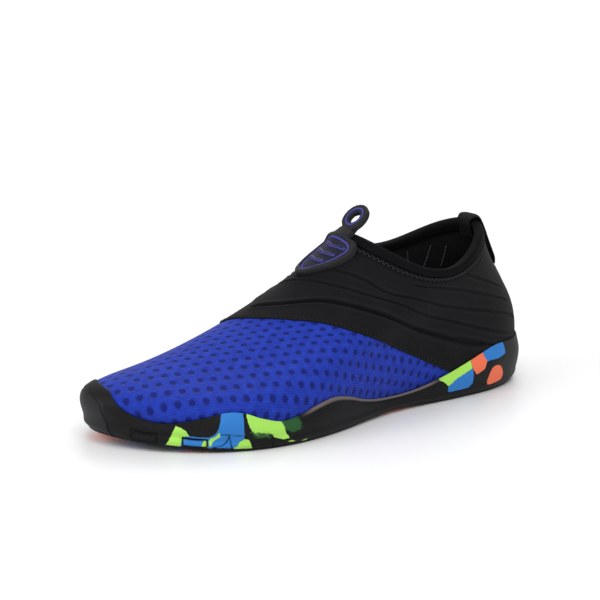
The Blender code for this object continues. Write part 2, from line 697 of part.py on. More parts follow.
def tape_share(depth):
    """Share of the last's height at a depth below the collar, at the heel."""
    fine = np.linspace(1.0, 0.2, 81)
    column = last_points(np.zeros(1), fine[:, None])[:, 0]
    lengths = np.concatenate([[0.0], np.cumsum(np.linalg.norm(np.diff(column, axis=0), axis=1))])
    return float(np.interp(depth, lengths, fine))


def make_pull_loop(material):
    """The webbing loop that is folded over the heel collar and sewn below it."""
    half = LOOP_THICKNESS / 2
    inner = -(UPPER_WALL + 2 * FIT_GAP + BINDING_THICKNESS + half)
    sewn = QUARTER_STEP + FIT_GAP + half
    outer = sewn + BINDING_THICKNESS + FIT_GAP
    fold = FIT_GAP + BINDING_THICKNESS + LOOP_ROOM + half
    wide = outer + LOOP_STAND_OFF
    middle = (inner + outer) / 2
    corner = fold * FOLD_CORNER
    path = [(-LOOP_TUCK, inner), (0.0, inner),
            (corner, inner * FOLD_CORNER + middle * (1.0 - FOLD_CORNER)), (fold, middle),
            (corner, outer * FOLD_CORNER + middle * (1.0 - FOLD_CORNER)), (0.0, outer),
            (-LOOP_DROP * LOOP_WIDEST[0], wide), (-LOOP_DROP * LOOP_WIDEST[1], wide),
            (-LOOP_DROP * LOOP_RETURN, outer), (-LOOP_DROP, sewn)]
    path = np.array(path)
    along = np.gradient(path, axis=0)
    along = along / np.linalg.norm(along, axis=1, keepdims=True)
    across = np.stack([-along[:, 1], along[:, 0]], axis=1) * half
    sheets = [loop_sheet(path - across), loop_sheet(path + across)]
    return strip_solid("heel_pull_loop", sheets[0], sheets[1], material)


def loop_sheet(path):
    """One side of the loop, with the same width all the way along.

    path has a row for each place along the loop, with its height from the collar edge and
    its distance outside the last.
    """
    rows = []
    for drop, offset in path:
        angles = heel_angles(LOOP_WIDTH, tape_share(max(-float(drop), 0.0)))
        flat_row = np.ones((1, len(angles)))
        rows.append(edge_points(angles, drop * flat_row, offset * flat_row)[0])
    return rows


def arc(centre, radius, start, end, count):
    """Points on an arc, by angle."""
    return [(centre[0] + radius * math.cos(angle), centre[1] + radius * math.sin(angle))
            for angle in np.linspace(start, end, count)]


def shield_half(inset):
    """Right half of the shield, from its top corner down to its tip, drawn in by an inset.

    The first number runs up the instep from the collar edge and the second across.
    """
    half = TAB_WIDTH / 2 - inset
    up = -TAB_TOP - inset
    tip = -TAB_TOP - TAB_LENGTH + inset * TIP_INSET
    widest = -TAB_TOP - TAB_LENGTH * SHOULDER
    points = [(up - TAB_LENGTH * fall, half * side) for fall, side in SHIELD_CORNER]
    points += [(widest + (tip - widest) * fall, half * side) for fall, side in SHIELD_FLANK]
    return points


def tab_outline():
    """Outline of the whole tab: shield, neck and ring."""
    shield = shield_half(0.0)
    neck = NECK_WIDTH / 2
    join = math.asin(neck * RING_JOIN / RING_RADIUS)
    ring = arc((NECK_LENGTH, 0.0), RING_RADIUS, math.pi - join, 0.0, ROUND_POINTS // 2)
    right = [(point[0], point[1]) for point in ring[::-1]]
    right += [(NECK_LENGTH * NECK_FOOT, neck), (-TAB_TOP, neck * NECK_FLARE)] + shield
    left = [(up, -side) for up, side in right[1:][::-1]]
    return right + left


def shield_outline(inset):
    """Outline of the shield alone, drawn in from the tab's edge."""
    right = [(-TAB_TOP - inset, 0.0)] + shield_half(inset)
    return right + [(up, -side) for up, side in right[1:][::-1]]


def grip_bars():
    """Three plain chevron bars inside the shield."""
    bars = []
    for fall, reach in CHEVRONS:
        up = -TAB_TOP - TAB_LENGTH * fall
        wide = TAB_WIDTH * reach
        lift = wide * CHEVRON_LIFT
        low, high = up - BAR_WIDTH / 2, up + BAR_WIDTH / 2
        bars.append([(high, 0.0), (high + lift, wide), (low + lift, wide), (low, 0.0),
                     (low + lift, -wide), (high + lift, -wide)])
    return bars


def cut_finely(outline):
    """The outline with a point at least every TAB_PITCH, so that it follows the instep."""
    points = []
    for here, after in zip(outline, outline[1:] + outline[:1]):
        parts = max(1, math.ceil(math.dist(here, after) / TAB_PITCH))
        for step in range(parts):
            share = step / parts
            points.append((here[0] + (after[0] - here[0]) * share,
                           here[1] + (after[1] - here[1]) * share))
    return points


def is_inside(point, outline):
    """Whether a point lies inside an outline."""
    inside = False
    for here, after in zip(outline, outline[1:] + outline[:1]):
        if (here[1] > point[1]) != (after[1] > point[1]):
            cross = (after[0] - here[0]) * (point[1] - here[1]) / (after[1] - here[1]) + here[0]
            inside ^= point[0] < cross
    return inside


def tab_frame():
    """Corner, up, across and normal vectors of the instep under the tab."""
    column = last_points(np.array([math.pi]), np.array([[0.82], [1.0]]))[:, 0]
    up = Vector(column[1] - column[0]).normalized()
    normal = up.cross(Vector((0.0, -1.0, 0.0))).normalized()
    if normal.z < 0:
        normal.negate()
    across = normal.cross(up).normalized()
    if across.y < 0:
        across.negate()
    return Vector(column[1]), up, across, normal


def instep_tree():
    """The quarter's outer face near the instep, to lay the tab on."""
    top = np.ones(AROUND)
    shares = np.vstack([spread(SEAM_SHARES, top, QUARTER_ROWS), top[None] * 1.02])
    rows = offset_points(ANGLES, shares, QUARTER_STEP)
    points = [tuple(point) for point in rows.reshape(-1, 3)]
    return BVHTree.FromPolygons(points, band_faces(len(rows), AROUND))


def tab_point(place, height, tree, frame):
    """Point of the tab from its place on the instep and its height above the tab's back."""
    corner, up, across, normal = frame
    climb, side = place
    over_binding = float(smooth_step((climb + 2 * BINDING_LEG) / BINDING_LEG))
    clearance = FIT_GAP + (BINDING_THICKNESS + 2 * FIT_GAP) * over_binding
    above = normal * RAY_START
    on_shoe = min(climb, 0.0)
    hit, slope = tree.ray_cast(corner + up * on_shoe + across * side + above, -normal)[:2]
    clearance /= max(abs(slope.dot(normal)), STEEPEST)
    if climb > 0.0:
        flat = tree.ray_cast(corner + above, -normal)[0] + across * side
        hit = hit.lerp(flat, float(smooth_step(climb / NECK_LENGTH * NECK_FLATTENING)))
        lean = RING_LEAN - math.asin(up.z)
        hit = hit + (up * math.cos(lean) + normal * math.sin(lean)) * climb
    return hit + normal * (clearance + height)


def terrace_solid(name, outlines, place_point, grid):
    """Solid with a flat back and a terrace inside each outline.

    outlines lists (outline, height), outermost first, and a height of None is a hole.
    """
    coords, edges = [], []
    for outline, _ in outlines:
        start = len(coords)
        coords.extend(Vector(point) for point in outline)
        count = len(outline)
        edges.extend((start + step, start + (step + 1) % count) for step in range(count))
    coords.extend(Vector(point) for point in grid)
    flat, _, triangles = delaunay_2d_cdt(coords, edges, [], 0, 1e-7)[:3]
    kept = []
    for triangle in triangles:
        middle = sum((flat[index] for index in triangle), Vector((0.0, 0.0))) / 3
        height = None
        for outline, level in outlines:
            if is_inside(middle, outline):
                height = level
        if height is not None:
            kept.append((tuple(triangle), height))
    points, numbers, faces = [], {}, []

    def number(index, height):
        key = (index, round(height, 7))
        if key not in numbers:
            numbers[key] = len(points)
            points.append(place_point(flat[index], height))
        return numbers[key]

    beside = {}
    for triangle, height in kept:
        for here, after in zip(triangle, triangle[1:] + triangle[:1]):
            beside[here, after] = height
    for triangle, height in kept:
        faces.append(tuple(number(index, height) for index in triangle))
        faces.append(tuple(number(index, 0.0) for index in triangle[::-1]))
        for here, after in zip(triangle, triangle[1:] + triangle[:1]):
            other = beside.get((after, here), 0.0)
            if other < height:
                faces.append((number(after, height), number(here, height),
                              number(here, other), number(after, other)))
    return mesh_from(name, placed(points), faces)


def make_instep_tab(material):
    """The moulded tab: shield with a raised border and grip bars, neck and ring."""
    hole = arc((NECK_LENGTH, 0.0), RING_HOLE, 0.0, 2 * math.pi, ROUND_POINTS + 1)[:-1]
    outline, field = tab_outline(), shield_outline(TAB_BORDER_WIDTH)
    bars = grip_bars()
    outlines = [(outline, TAB_BORDER), (field, TAB_PLATE)]
    outlines += [(bar, (TAB_PLATE + TAB_BORDER) / 2) for bar in bars]
    outlines.append((hole, None))
    outlines = [(cut_finely(loop), height) for loop, height in outlines]
    edge_room = TAB_PITCH * GRID_ROOM
    corners = [point for loop, _ in outlines for point in loop]
    grid = []
    for climb in np.arange(-TAB_TOP - TAB_LENGTH, NECK_LENGTH, TAB_PITCH):
        for side in np.arange(-TAB_WIDTH / 2 + TAB_PITCH / 2, TAB_WIDTH / 2, TAB_PITCH):
            point = (float(climb), float(side))
            room = min(math.dist(point, corner) for corner in corners)
            if is_inside(point, outline) and not is_inside(point, hole) and room > edge_room:
                grid.append(point)
    tree, frame = instep_tree(), tab_frame()
    tab = terrace_solid("instep_tab", outlines,
                        lambda place, height: tab_point(place, height, tree, frame), grid)
    return finish_part(tab, [material])


def make_material(name, colour, roughness):
    """Plain material with a colour and a roughness."""
    material = bpy.data.materials.new(name)
    material.use_nodes = True
    shader = material.node_tree.nodes["Principled BSDF"]
    shader.inputs["Base Color"].default_value = (*colour, 1.0)
    shader.inputs["Roughness"].default_value = roughness
    shader.inputs["Metallic"].default_value = 0.0
    return material


def main():
    """Clear the scene and build the shoe."""
    for old in list(bpy.data.objects):
        bpy.data.objects.remove(old)
    vamp_mesh = make_material("vamp_mesh", (0.02, 0.05, 0.62), 0.75)
    quarter_knit = make_material("quarter_knit", (0.012, 0.012, 0.014), 0.85)
    sole_rubber = make_material("sole_rubber", (0.018, 0.018, 0.020), 0.55)
    insole_foam = make_material("insole_foam", (0.020, 0.020, 0.022), 0.90)
    edge_binding = make_material("edge_binding", (0.010, 0.010, 0.011), 0.85)
    tab_rubber = make_material("tab_rubber", (0.016, 0.016, 0.020), 0.50)
    webbing = make_material("webbing", (0.014, 0.014, 0.015), 0.80)
    make_upper(vamp_mesh, quarter_knit)
    outsole = make_outsole(sole_rubber)
    cut_grooves(outsole, make_groove_cutter())
    make_insole(insole_foam)
    make_binding(edge_binding)
    make_heel_tape(webbing)
    make_pull_loop(webbing)
    make_instep_tab(tab_rubber)


main()
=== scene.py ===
"""Looks of a water shoe for the left foot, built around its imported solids.

Everything is in metres in the shoe's frame: +X toward the toe, +Y toward the wearer's left,
which is the outer side, and +Z up. The origin lies on the floor under the middle of the heel.
A place on the shoe is given by a turn, from 0 at the heel along the outer side to 1 at the toe
and back along the inner side to 2, and by a share of the height there.
"""
from __future__ import annotations

import logging
import math
from dataclasses import dataclass, field
from enum import Enum
from typing import Callable, ClassVar, NamedTuple, Sequence

import bmesh
import bpy
import numpy as np
from mathutils import Matrix, Vector
from mathutils.bvhtree import BVHTree
from mathutils.geometry import delaunay_2d_cdt

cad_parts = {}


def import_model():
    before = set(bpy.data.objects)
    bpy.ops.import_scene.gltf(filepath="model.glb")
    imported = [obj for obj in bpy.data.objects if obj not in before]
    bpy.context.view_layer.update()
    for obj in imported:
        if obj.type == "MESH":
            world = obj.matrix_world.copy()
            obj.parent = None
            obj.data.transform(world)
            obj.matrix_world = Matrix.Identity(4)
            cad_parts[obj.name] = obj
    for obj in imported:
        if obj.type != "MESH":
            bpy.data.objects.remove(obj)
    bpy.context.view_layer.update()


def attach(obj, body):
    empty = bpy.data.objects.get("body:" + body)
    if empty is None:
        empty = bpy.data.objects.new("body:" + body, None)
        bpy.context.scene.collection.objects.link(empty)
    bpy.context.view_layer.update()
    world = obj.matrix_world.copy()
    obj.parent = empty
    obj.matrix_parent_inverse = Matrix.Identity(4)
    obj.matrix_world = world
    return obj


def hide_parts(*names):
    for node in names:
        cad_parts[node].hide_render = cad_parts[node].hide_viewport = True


Array = np.ndarray
Socket = bpy.types.NodeSocket
Piece = bpy.types.Object
Material = bpy.types.Material
MM = 0.001
STEEPEST = 9.0      # square of the steepest slope that stretches a distance across a line
LOG = logging.getLogger("water_shoe")


class Place(NamedTuple):
    """A place on the shoe, by its turn around the foot and its share of the height."""

    turn: float
    share: float


def corners(*pairs: tuple[float, float]) -> tuple[Place, ...]:
    """Places from pairs of numbers."""
    return tuple(Place(*pair) for pair in pairs)


def mirror(places: Sequence[Place]) -> tuple[Place, ...]:
    """Places of the outer side on the inner side, by growing turn."""
    return tuple(Place(2.0 - turn, share) for turn, share in places[::-1])


class Ring(NamedTuple):
    """One ring of the last; heights and half widths are shares of the last's own sizes."""

    back: float
    front: float
    heights: tuple[float, ...]
    outer: tuple[float, ...]
    inner: tuple[float, ...]
    tip_side: float
    rise: float


def smooth_step(value: Array | float) -> Array:
    """Ease from 0 to 1 as value goes from 0 to 1."""
    value = np.clip(value, 0.0, 1.0)
    return value * value * (3.0 - 2.0 * value)


def soft_edge(reach: Array, width: float) -> Array:
    """Ease from 0 to 1 over a width around an edge, where the reach is 0."""
    return smooth_step(reach / width + 0.5)


def window(values: Array, start: float, end: float, rise: float,
           fall: float | None = None) -> Array:
    """Ease from 0 to 1 past the start, and back to 0 up to the end."""
    return smooth_step((values - start) / rise) * smooth_step((end - values) / (fall or rise))


def full_turn(count: int) -> Array:
    """Even angles once around the shoe."""
    return np.linspace(0.0, 2 * math.pi, count, endpoint=False)


def from_heel(turns: Array) -> Array:
    """Turns from the heel, the same on both sides."""
    return np.minimum(turns, 2.0 - turns)


def unit(vectors: Array) -> Array:
    """Scale vectors to length 1."""
    return vectors / np.maximum(np.linalg.norm(vectors, axis=-1, keepdims=True), 1e-12)


def run_lengths(points: Array) -> Array:
    """Length run so far along the first axis of an array of points."""
    steps = np.linalg.norm(np.diff(points, axis=0), axis=-1)
    return np.concatenate([np.zeros_like(steps[:1]), np.cumsum(steps, axis=0)])


def slant(track: Array, climbs: Array) -> Array:
    """Length up the shoe for each unit across a line, from the line's climb at each point."""
    around = np.maximum(np.linalg.norm(np.gradient(track, axis=0), axis=1), 1e-9)
    return np.sqrt(1.0 + np.minimum((climbs / around) ** 2, STEEPEST))


def spline_value(low: Array, high: Array, bends: tuple[Array, Array], span: Array,
                 gone: Array) -> Array:
    """Value on a cubic piece.

    Args:
        low: Value at the piece's start.
        high: Value at its end.
        bends: Second slopes at its start and end.
        span: Its length.
        gone: Where it is read, from its start.

    Returns:
        The value.
    """
    left = span - gone
    return ((bends[0] * left ** 3 + bends[1] * gone ** 3) / (6 * span)
            + (low / span - bends[0] * span / 6) * left
            + (high / span - bends[1] * span / 6) * gone)


def curve_through(places: Sequence[Place], turns: Array) -> Array:
    """Shares at the given turns, on a smooth curve through a table of places.

    Args:
        places: The table, by growing turn.
        turns: Where the curve is read.

    Returns:
        One share for each turn.
    """
    knots = np.array([place.turn for place in places])
    values = np.array([place.share for place in places])
    slopes = np.gradient(values, knots)
    index = np.clip(np.searchsorted(knots, turns, side="right") - 1, 0, len(knots) - 2)
    span = knots[index + 1] - knots[index]
    along = (turns - knots[index]) / span
    start = values[index] * (1 + 2 * along) * (1 - along) ** 2
    end = values[index + 1] * along ** 2 * (3 - 2 * along)
    lean_in = slopes[index] * span * along * (1 - along) ** 2
    lean_out = slopes[index + 1] * span * along ** 2 * (along - 1)
    return start + end + lean_in + lean_out


def smooth_path(corners: Sequence[Sequence[float]], parts: int, closed: bool = False) -> Array:
    """Points on a smooth curve through corners.

    Args:
        corners: The points that the curve goes through.
        parts: Steps between two corners.
        closed: Whether the curve comes back to its start.

    Returns:
        The points, with the last corner left out if the curve is closed.
    """
    knots = np.array(corners, dtype=float)
    if closed:
        padded = np.concatenate([knots[-1:], knots, knots[:2]])
    else:
        padded = np.concatenate([2 * knots[:1] - knots[1:2], knots, 2 * knots[-1:] - knots[-2:-1]])
    steps = np.linspace(0.0, 1.0, parts, endpoint=False)[:, None]
    points = []
    for index in range(1, len(padded) - 2):
        before, here, after, beyond = padded[index - 1:index + 3]
        points.append(0.5 * (2 * here + (after - before) * steps
                             + (2 * before - 5 * here + 4 * after - beyond) * steps ** 2
                             + (3 * here - before - 3 * after + beyond) * steps ** 3))
    if not closed:
        points.append(knots[-1:])
    return np.concatenate(points)


def line_distance(points: Array, line: Array, closed: bool = False) -> Array:
    """Distance from points in a plane to a line of corners.

    Args:
        points: Points, with their two coordinates on the last axis.
        line: The line's corners.
        closed: Whether the line comes back to its start.

    Returns:
        The distance of each point.
    """
    ends = np.roll(line, -1, axis=0) if closed else line[1:]
    starts = line if closed else line[:-1]
    nearest = np.full(points.shape[:-1], np.inf)
    for start, end in zip(starts, ends):
        along = end - start
        share = np.clip((points - start) @ along / max(along @ along, 1e-18), 0.0, 1.0)
        gap = points - start - share[..., None] * along
        nearest = np.minimum(nearest, np.hypot(gap[..., 0], gap[..., 1]))
    return nearest


def inside_distance(points: Array, outline: Array) -> Array:
    """Distance from points in a plane to an outline, above 0 inside it and below 0 outside."""
    inside = np.zeros(points.shape[:-1], dtype=bool)
    for here, after in zip(outline, np.roll(outline, -1, axis=0)):
        rise = after[1] - here[1]
        if abs(rise) < 1e-15:
            continue
        crosses = (here[1] > points[..., 1]) != (after[1] > points[..., 1])
        where = (after[0] - here[0]) * (points[..., 1] - here[1]) / rise + here[0]
        inside ^= crosses & (points[..., 0] < where)
    return np.where(inside, 1.0, -1.0) * line_distance(points, outline, closed=True)


@dataclass(frozen=True)
class Last:
    """The foot form, one smooth surface over five rings from the sole's edge to the collar."""

    length: float = 0.254
    ball_width: float = 0.090
    heel_width: float = 0.0595
    instep_height: float = 0.079
    heel_height: float = 0.077
    medial_rise: float = 0.0045
    toe_spring: float = 0.0087
    tread_spring: float = 0.0058
    spring_start: float = 0.748
    heel_rest: float = 0.034
    heel_stack: float = 0.0070
    ball_stack: float = 0.0065
    cup_height: float = 0.0180
    arch_lift: float = 0.0025
    arch_place: float = 0.42
    arch_reach: float = 0.17
    arch_tilt: float = 0.3
    fit_gap: float = 0.0003
    wall: float = 1.8 * MM
    quarter_step: float = 0.0006
    step_end: float = 0.40
    step_fade: float = 0.07
    binding: float = 1.0 * MM
    binding_leg: float = 5.0 * MM
    turn_room: float = 0.01
    stations: tuple[float, ...] = (0.13, 0.42, 0.70, 0.88)
    rings: tuple[Ring, ...] = (
        Ring(0.014, 0.984, (0, 0, 0, 0, 0, 0),
             (0.462, 0.421, 0.489, 0.344), (0.454, 0.334, 0.456, 0.433), -0.144, 0),
        Ring(0.000, 1.000, (0.195, 0.195, 0.180, 0.170, 0.140, 0.100),
             (0.504, 0.468, 0.517, 0.378), (0.496, 0.381, 0.483, 0.456), -0.144, 0),
        Ring(0.008, 0.898, (0.455, 0.403, 0.370, 0.321, 0.294, 0.300),
             (0.462, 0.441, 0.461, 0.328), (0.462, 0.381, 0.422, 0.378), -0.100, 0),
        Ring(0.053, 0.622, (0.714, 0.636, 0.571, 0.560, 0.561, 0.637),
             (0.378, 0.415, 0.383, 0.278), (0.378, 0.388, 0.350, 0.294), -0.067, 0.3),
        Ring(0.0945, 0.421, (1.000, 0.916, 0.767, 0.799, 0.906, 1.000),
             (0.294, 0.348, 0.278, 0.194), (0.294, 0.348, 0.278, 0.194), 0.000, 1.0),
    )
    seam: tuple[Place, ...] = corners(
        (0.00, 0.12), (0.30, 0.12), (0.336, 0.127), (0.372, 0.208), (0.406, 0.288),
        (0.439, 0.354), (0.489, 0.443), (0.567, 0.547), (0.644, 0.618), (0.711, 0.660),
        (0.790, 0.681), (0.864, 0.665), (0.961, 0.627), (1.031, 0.604), (1.094, 0.585),
        (1.16, 0.610), (1.24, 0.655), (1.30, 0.660), (1.36, 0.628), (1.433, 0.547),
        (1.511, 0.443), (1.561, 0.354), (1.594, 0.288), (1.628, 0.208), (1.664, 0.127),
        (1.70, 0.12), (2.00, 0.12))
    lip: tuple[Place, ...] = corners(
        (0.000, 1.05), (0.100, 0.91), (0.180, 0.94), (0.255, 0.91), (0.300, 0.68), (0.350, 0.38),
        (0.400, 0.17), (0.440, 0.12), (0.480, 0.19), (0.505, 0.32), (0.535, 0.54), (0.565, 0.66),
        (0.595, 0.58), (0.625, 0.42), (0.655, 0.34), (0.685, 0.48), (0.715, 0.65), (0.740, 0.67),
        (0.770, 0.52), (0.800, 0.35), (0.840, 0.20), (0.880, 0.20), (0.905, 0.27), (0.930, 0.44),
        (0.960, 0.64), (1.000, 0.73), (1.045, 0.78), (1.090, 0.77), (1.118, 0.62), (1.140, 0.42),
        (1.160, 0.28), (1.185, 0.24), (1.210, 0.38), (1.235, 0.56), (1.260, 0.67), (1.285, 0.65))

    def placed(self, points: Array) -> Array:
        """Move points from the last's own measure to the shoe's frame."""
        return points - np.array([self.heel_rest, 0.0, 0.0])

    def spring(self, x: Array) -> Array:
        """Growth of the toe's lift, from 0 behind the ball to 1 under the tip."""
        start = self.spring_start * self.length
        return (np.maximum(x - start, 0.0) / (self.length - start)) ** 2

    def footbed(self, x: Array) -> Array:
        """Height of the footbed above the floor at x."""
        ball_part = smooth_step(np.clip(x / self.length, 0.0, 1.0) / self.spring_start)
        stack = self.heel_stack + (self.ball_stack - self.heel_stack) * ball_part
        return stack + self.toe_spring * self.spring(x)

    def tread(self, x: Array, side: Array | float) -> Array:
        """Height of the sole's underside at x, with side from -1, inner, to 1, outer."""
        reach = np.clip((x / self.length - self.arch_place) / self.arch_reach, -1.0, 1.0)
        waist = 0.5 * (1.0 + np.cos(math.pi * reach))
        return (self.tread_spring * self.spring(x)
                + self.arch_lift * waist * (1.0 - self.arch_tilt * side))

    @staticmethod
    def loop_spline(knots: Array, values: Array, angles: Array) -> Array:
        """Values at the angles, on a smooth closed curve through the knots.

        Args:
            knots: Angles of the knots.
            values: Values at the knots.
            angles: Where the curve is read.

        Returns:
            One value for each angle.
        """
        count = len(knots)
        spans = np.diff(np.append(knots, knots[0] + 2 * math.pi))
        matrix = np.zeros((count, count))
        right = np.zeros(count)
        for here in range(count):
            before, after = (here - 1) % count, (here + 1) % count
            matrix[here, before] += spans[before]
            matrix[here, here] += 2 * (spans[before] + spans[here])
            matrix[here, after] += spans[here]
            right[here] = 6 * ((values[after] - values[here]) / spans[here]
                               - (values[here] - values[before]) / spans[before])
        bend = np.linalg.solve(matrix, right)
        turned = np.mod(angles - knots[0], 2 * math.pi) + knots[0]
        index = np.clip(np.searchsorted(knots, turned, side="right") - 1, 0, count - 1)
        after = (index + 1) % count
        return spline_value(values[index], values[after], (bend[index], bend[after]),
                            spans[index], turned - knots[index])

    def ring_points(self, ring: Ring, angles: Array) -> Array:
        """Points of one ring, at angles from 0 at the heel over pi at the toe."""
        back, front = ring.back * self.length, ring.front * self.length
        x = back + (front - back) * (1.0 - np.cos(angles)) / 2.0
        places = np.arccos(1.0 - 2.0 * np.array(self.stations))
        knots = np.concatenate([[0.0], places, [math.pi], 2 * math.pi - places[::-1]])
        mean_width = (self.heel_width + self.ball_width) / 2
        widths = np.array([self.heel_width, mean_width, self.ball_width, self.ball_width])
        outer, inner = np.array(ring.outer) * widths, np.array(ring.inner) * widths
        tip = ring.tip_side * self.ball_width
        sides = np.concatenate([[0.0], outer, [tip], -inner[::-1]])
        sizes = np.array([self.heel_height] * 2 + [self.instep_height] * 4)
        rises = np.array(ring.heights) * sizes
        heights = np.concatenate([rises, rises[1:5][::-1]])
        y = self.loop_spline(knots, sides, angles)
        z = self.footbed(x) + self.fit_gap + self.loop_spline(knots, heights, angles)
        z = z + ring.rise * self.medial_rise * np.maximum(-np.sin(angles), 0.0) ** 2
        return np.stack([x, y, z], axis=-1)

    def points(self, angles: Array, shares: Array) -> Array:
        """Points of the last.

        Args:
            angles: One angle for each column.
            shares: A row for each height and a column for each angle.

        Returns:
            A row of points for each row of shares.
        """
        shares = np.broadcast_to(shares, (len(shares), len(angles)))
        rings = np.stack([self.ring_points(ring, angles) for ring in self.rings])
        chords = np.sqrt(np.linalg.norm(np.diff(rings, axis=0), axis=2))
        knots = np.vstack([np.zeros(len(angles)), np.cumsum(chords, axis=0)])
        knots = knots / knots[-1]
        spans = np.diff(knots, axis=0)
        count = len(self.rings)
        matrix = np.zeros((len(angles), count, count))
        right = np.zeros((len(angles), count, 3))
        matrix[:, 0, 0] = 1.0
        matrix[:, -1, -1] = 1.0
        for row in range(1, count - 1):
            matrix[:, row, row - 1] = spans[row - 1]
            matrix[:, row, row] = 2 * (spans[row - 1] + spans[row])
            matrix[:, row, row + 1] = spans[row]
            slope_after = (rings[row + 1] - rings[row]) / spans[row][:, None]
            slope_before = (rings[row] - rings[row - 1]) / spans[row - 1][:, None]
            right[:, row] = 6 * (slope_after - slope_before)
        bend = np.linalg.solve(matrix, right).transpose(1, 0, 2)
        index = np.clip((shares[None] >= knots[1:-1, None]).sum(axis=0), 0, count - 2)
        column = np.arange(len(angles))[None]
        span = spans[index, column][..., None]
        gone = shares[..., None] - knots[index, column][..., None]
        return spline_value(rings[index, column], rings[index + 1, column],
                            (bend[index, column], bend[index + 1, column]), span, gone)

    def normals(self, angles: Array, shares: Array) -> Array:
        """Unit normals of the last, pointing away from the foot."""
        step = 1e-4
        turn = self.points(angles + step, shares) - self.points(angles - step, shares)
        rise = self.points(angles, shares + step) - self.points(angles, shares - step)
        return unit(np.cross(rise, turn))

    def offset(self, angles: Array, shares: Array, offsets: Array | float) -> Array:
        """Points at a distance outside the last."""
        normals = self.normals(angles, shares)
        return self.points(angles, shares) + normals * np.asarray(offsets)[..., None]

    def seam_shares(self, angles: Array) -> Array:
        """Height shares of the seam between vamp and quarter."""
        return curve_through(self.seam, np.mod(angles / math.pi, 2.0))

    def lip_rises(self, angles: Array) -> Array:
        """Heights of the cup's lip above the footbed, mirrored behind the table's last place."""
        whole = self.lip + tuple(place for place in mirror(self.lip)
                                 if place.turn > self.lip[-1].turn + self.turn_room)
        return curve_through(whole, np.mod(angles / math.pi, 2.0)) * self.cup_height

    def lip_shares(self, angles: Array) -> Array:
        """Share of the last's height at which the cup's lip lies, for each angle."""
        fine = np.linspace(0.0, 0.5, 101)
        columns = self.points(angles, fine[:, None])
        rises = columns[..., 2] - self.footbed(columns[..., 0])
        return np.array([np.interp(rise, rises[:, column], fine)
                         for column, rise in enumerate(self.lip_rises(angles))])

    def cup_offset(self, angles: Array) -> Array:
        """Distance from the last to the inside of the cup, wider where the quarter is in it."""
        past = from_heel(np.mod(angles / math.pi, 2.0)) - self.step_end
        return self.fit_gap + self.quarter_step * (1.0 - smooth_step(past / self.step_fade))

    def outward(self, angles: Array) -> Array:
        """Level unit vectors away from the foot at the sole's edge."""
        normals = self.normals(angles, np.zeros((1, len(angles))))[0]
        normals[:, 2] = 0.0
        return unit(normals)

    def feather(self, angles: Array, offset: Array | float, height: float) -> Array:
        """The sole's edge line, moved level by an offset, at a height above the footbed."""
        ring = self.points(angles, np.zeros((1, len(angles))))[0]
        ring = ring + self.outward(angles) * np.broadcast_to(offset, (len(angles),))[:, None]
        ring[:, 2] = self.footbed(ring[:, 0]) + height
        return ring

    def near_collar(self, angles: Array, drops: Array, offsets: Array | float) -> Array:
        """Points near the collar edge.

        Args:
            angles: One angle for each column.
            drops: Rows of heights from the edge along the upper, below 0 under it.
            offsets: Distances outside the last, in the same rows.

        Returns:
            A row of points for each row of drops.
        """
        drops = np.broadcast_to(drops, (len(drops), len(angles)))
        fine = np.linspace(1.0, 0.4, 61)
        columns = self.points(angles, fine[:, None])
        depths = run_lengths(columns)
        below = np.array([[np.interp(-drop, depths[:, column], fine)
                           for column, drop in enumerate(row)] for row in drops])
        up = unit(columns[0] - columns[1])
        return (self.offset(angles, below, offsets)
                + up[None] * np.maximum(drops, 0.0)[..., None])

    def heel_angles(self, sides: Array, share: float) -> Array:
        """Angles around the heel at which the last has the given sideways places."""
        fine = np.linspace(-0.6, 0.6, 121)
        found = self.points(fine, np.full((1, len(fine)), share))[0, :, 1]
        return np.interp(sides, found, fine)

    def heel_share(self, depth: float) -> float:
        """Share of the height at a depth below the collar, in the middle of the heel."""
        fine = np.linspace(1.0, 0.2, 81)
        column = self.points(np.zeros(1), fine[:, None])[:, 0]
        return float(np.interp(depth, run_lengths(column), fine))


LAST = Last()


@dataclass
class Skin:
    """A grid of points over the last, with the room to press grooves and ridges into it."""

    angles: Array
    shares: Array
    offsets: Array | float
    fade: ClassVar[float] = 0.02
    points: Array = field(init=False)
    normals: Array = field(init=False)
    heights: Array = field(init=False)

    def __post_init__(self) -> None:
        """Work out the points, their normals and the length run up each column."""
        self.shares = np.broadcast_to(self.shares, (len(self.shares), len(self.angles)))
        self.points = LAST.offset(self.angles, self.shares, self.offsets)
        self.normals = LAST.normals(self.angles, self.shares)
        self.heights = run_lengths(self.points)

    def groove_distance(self, line: Sequence[Place]) -> tuple[Array, Array]:
        """Distance of each point to a line that runs around the shoe.

        Args:
            line: The line's places, by growing turn.

        Returns:
            The distance, which is below 0 under the line, and for each column a weight that
            fades to 0 at the line's ends.
        """
        turns = self.angles / math.pi
        first, last = line[0].turn, line[-1].turn
        wrapped = np.where(turns < first - 0.5, turns + 2.0, turns)
        shares = curve_through(line, np.clip(wrapped, first, last))
        middle = np.array([np.interp(share, self.shares[:, column], self.heights[:, column])
                           for column, share in enumerate(shares)])
        row = np.abs(self.shares - shares).argmin(axis=0)
        track = self.points[row, np.arange(len(turns))]
        distance = (self.heights - middle) / slant(track, np.gradient(middle))
        return distance, window(wrapped, first, last, self.fade)

    def press(self, depth: Array) -> None:
        """Move each point inward by its depth."""
        self.points = self.points - self.normals * depth[..., None]


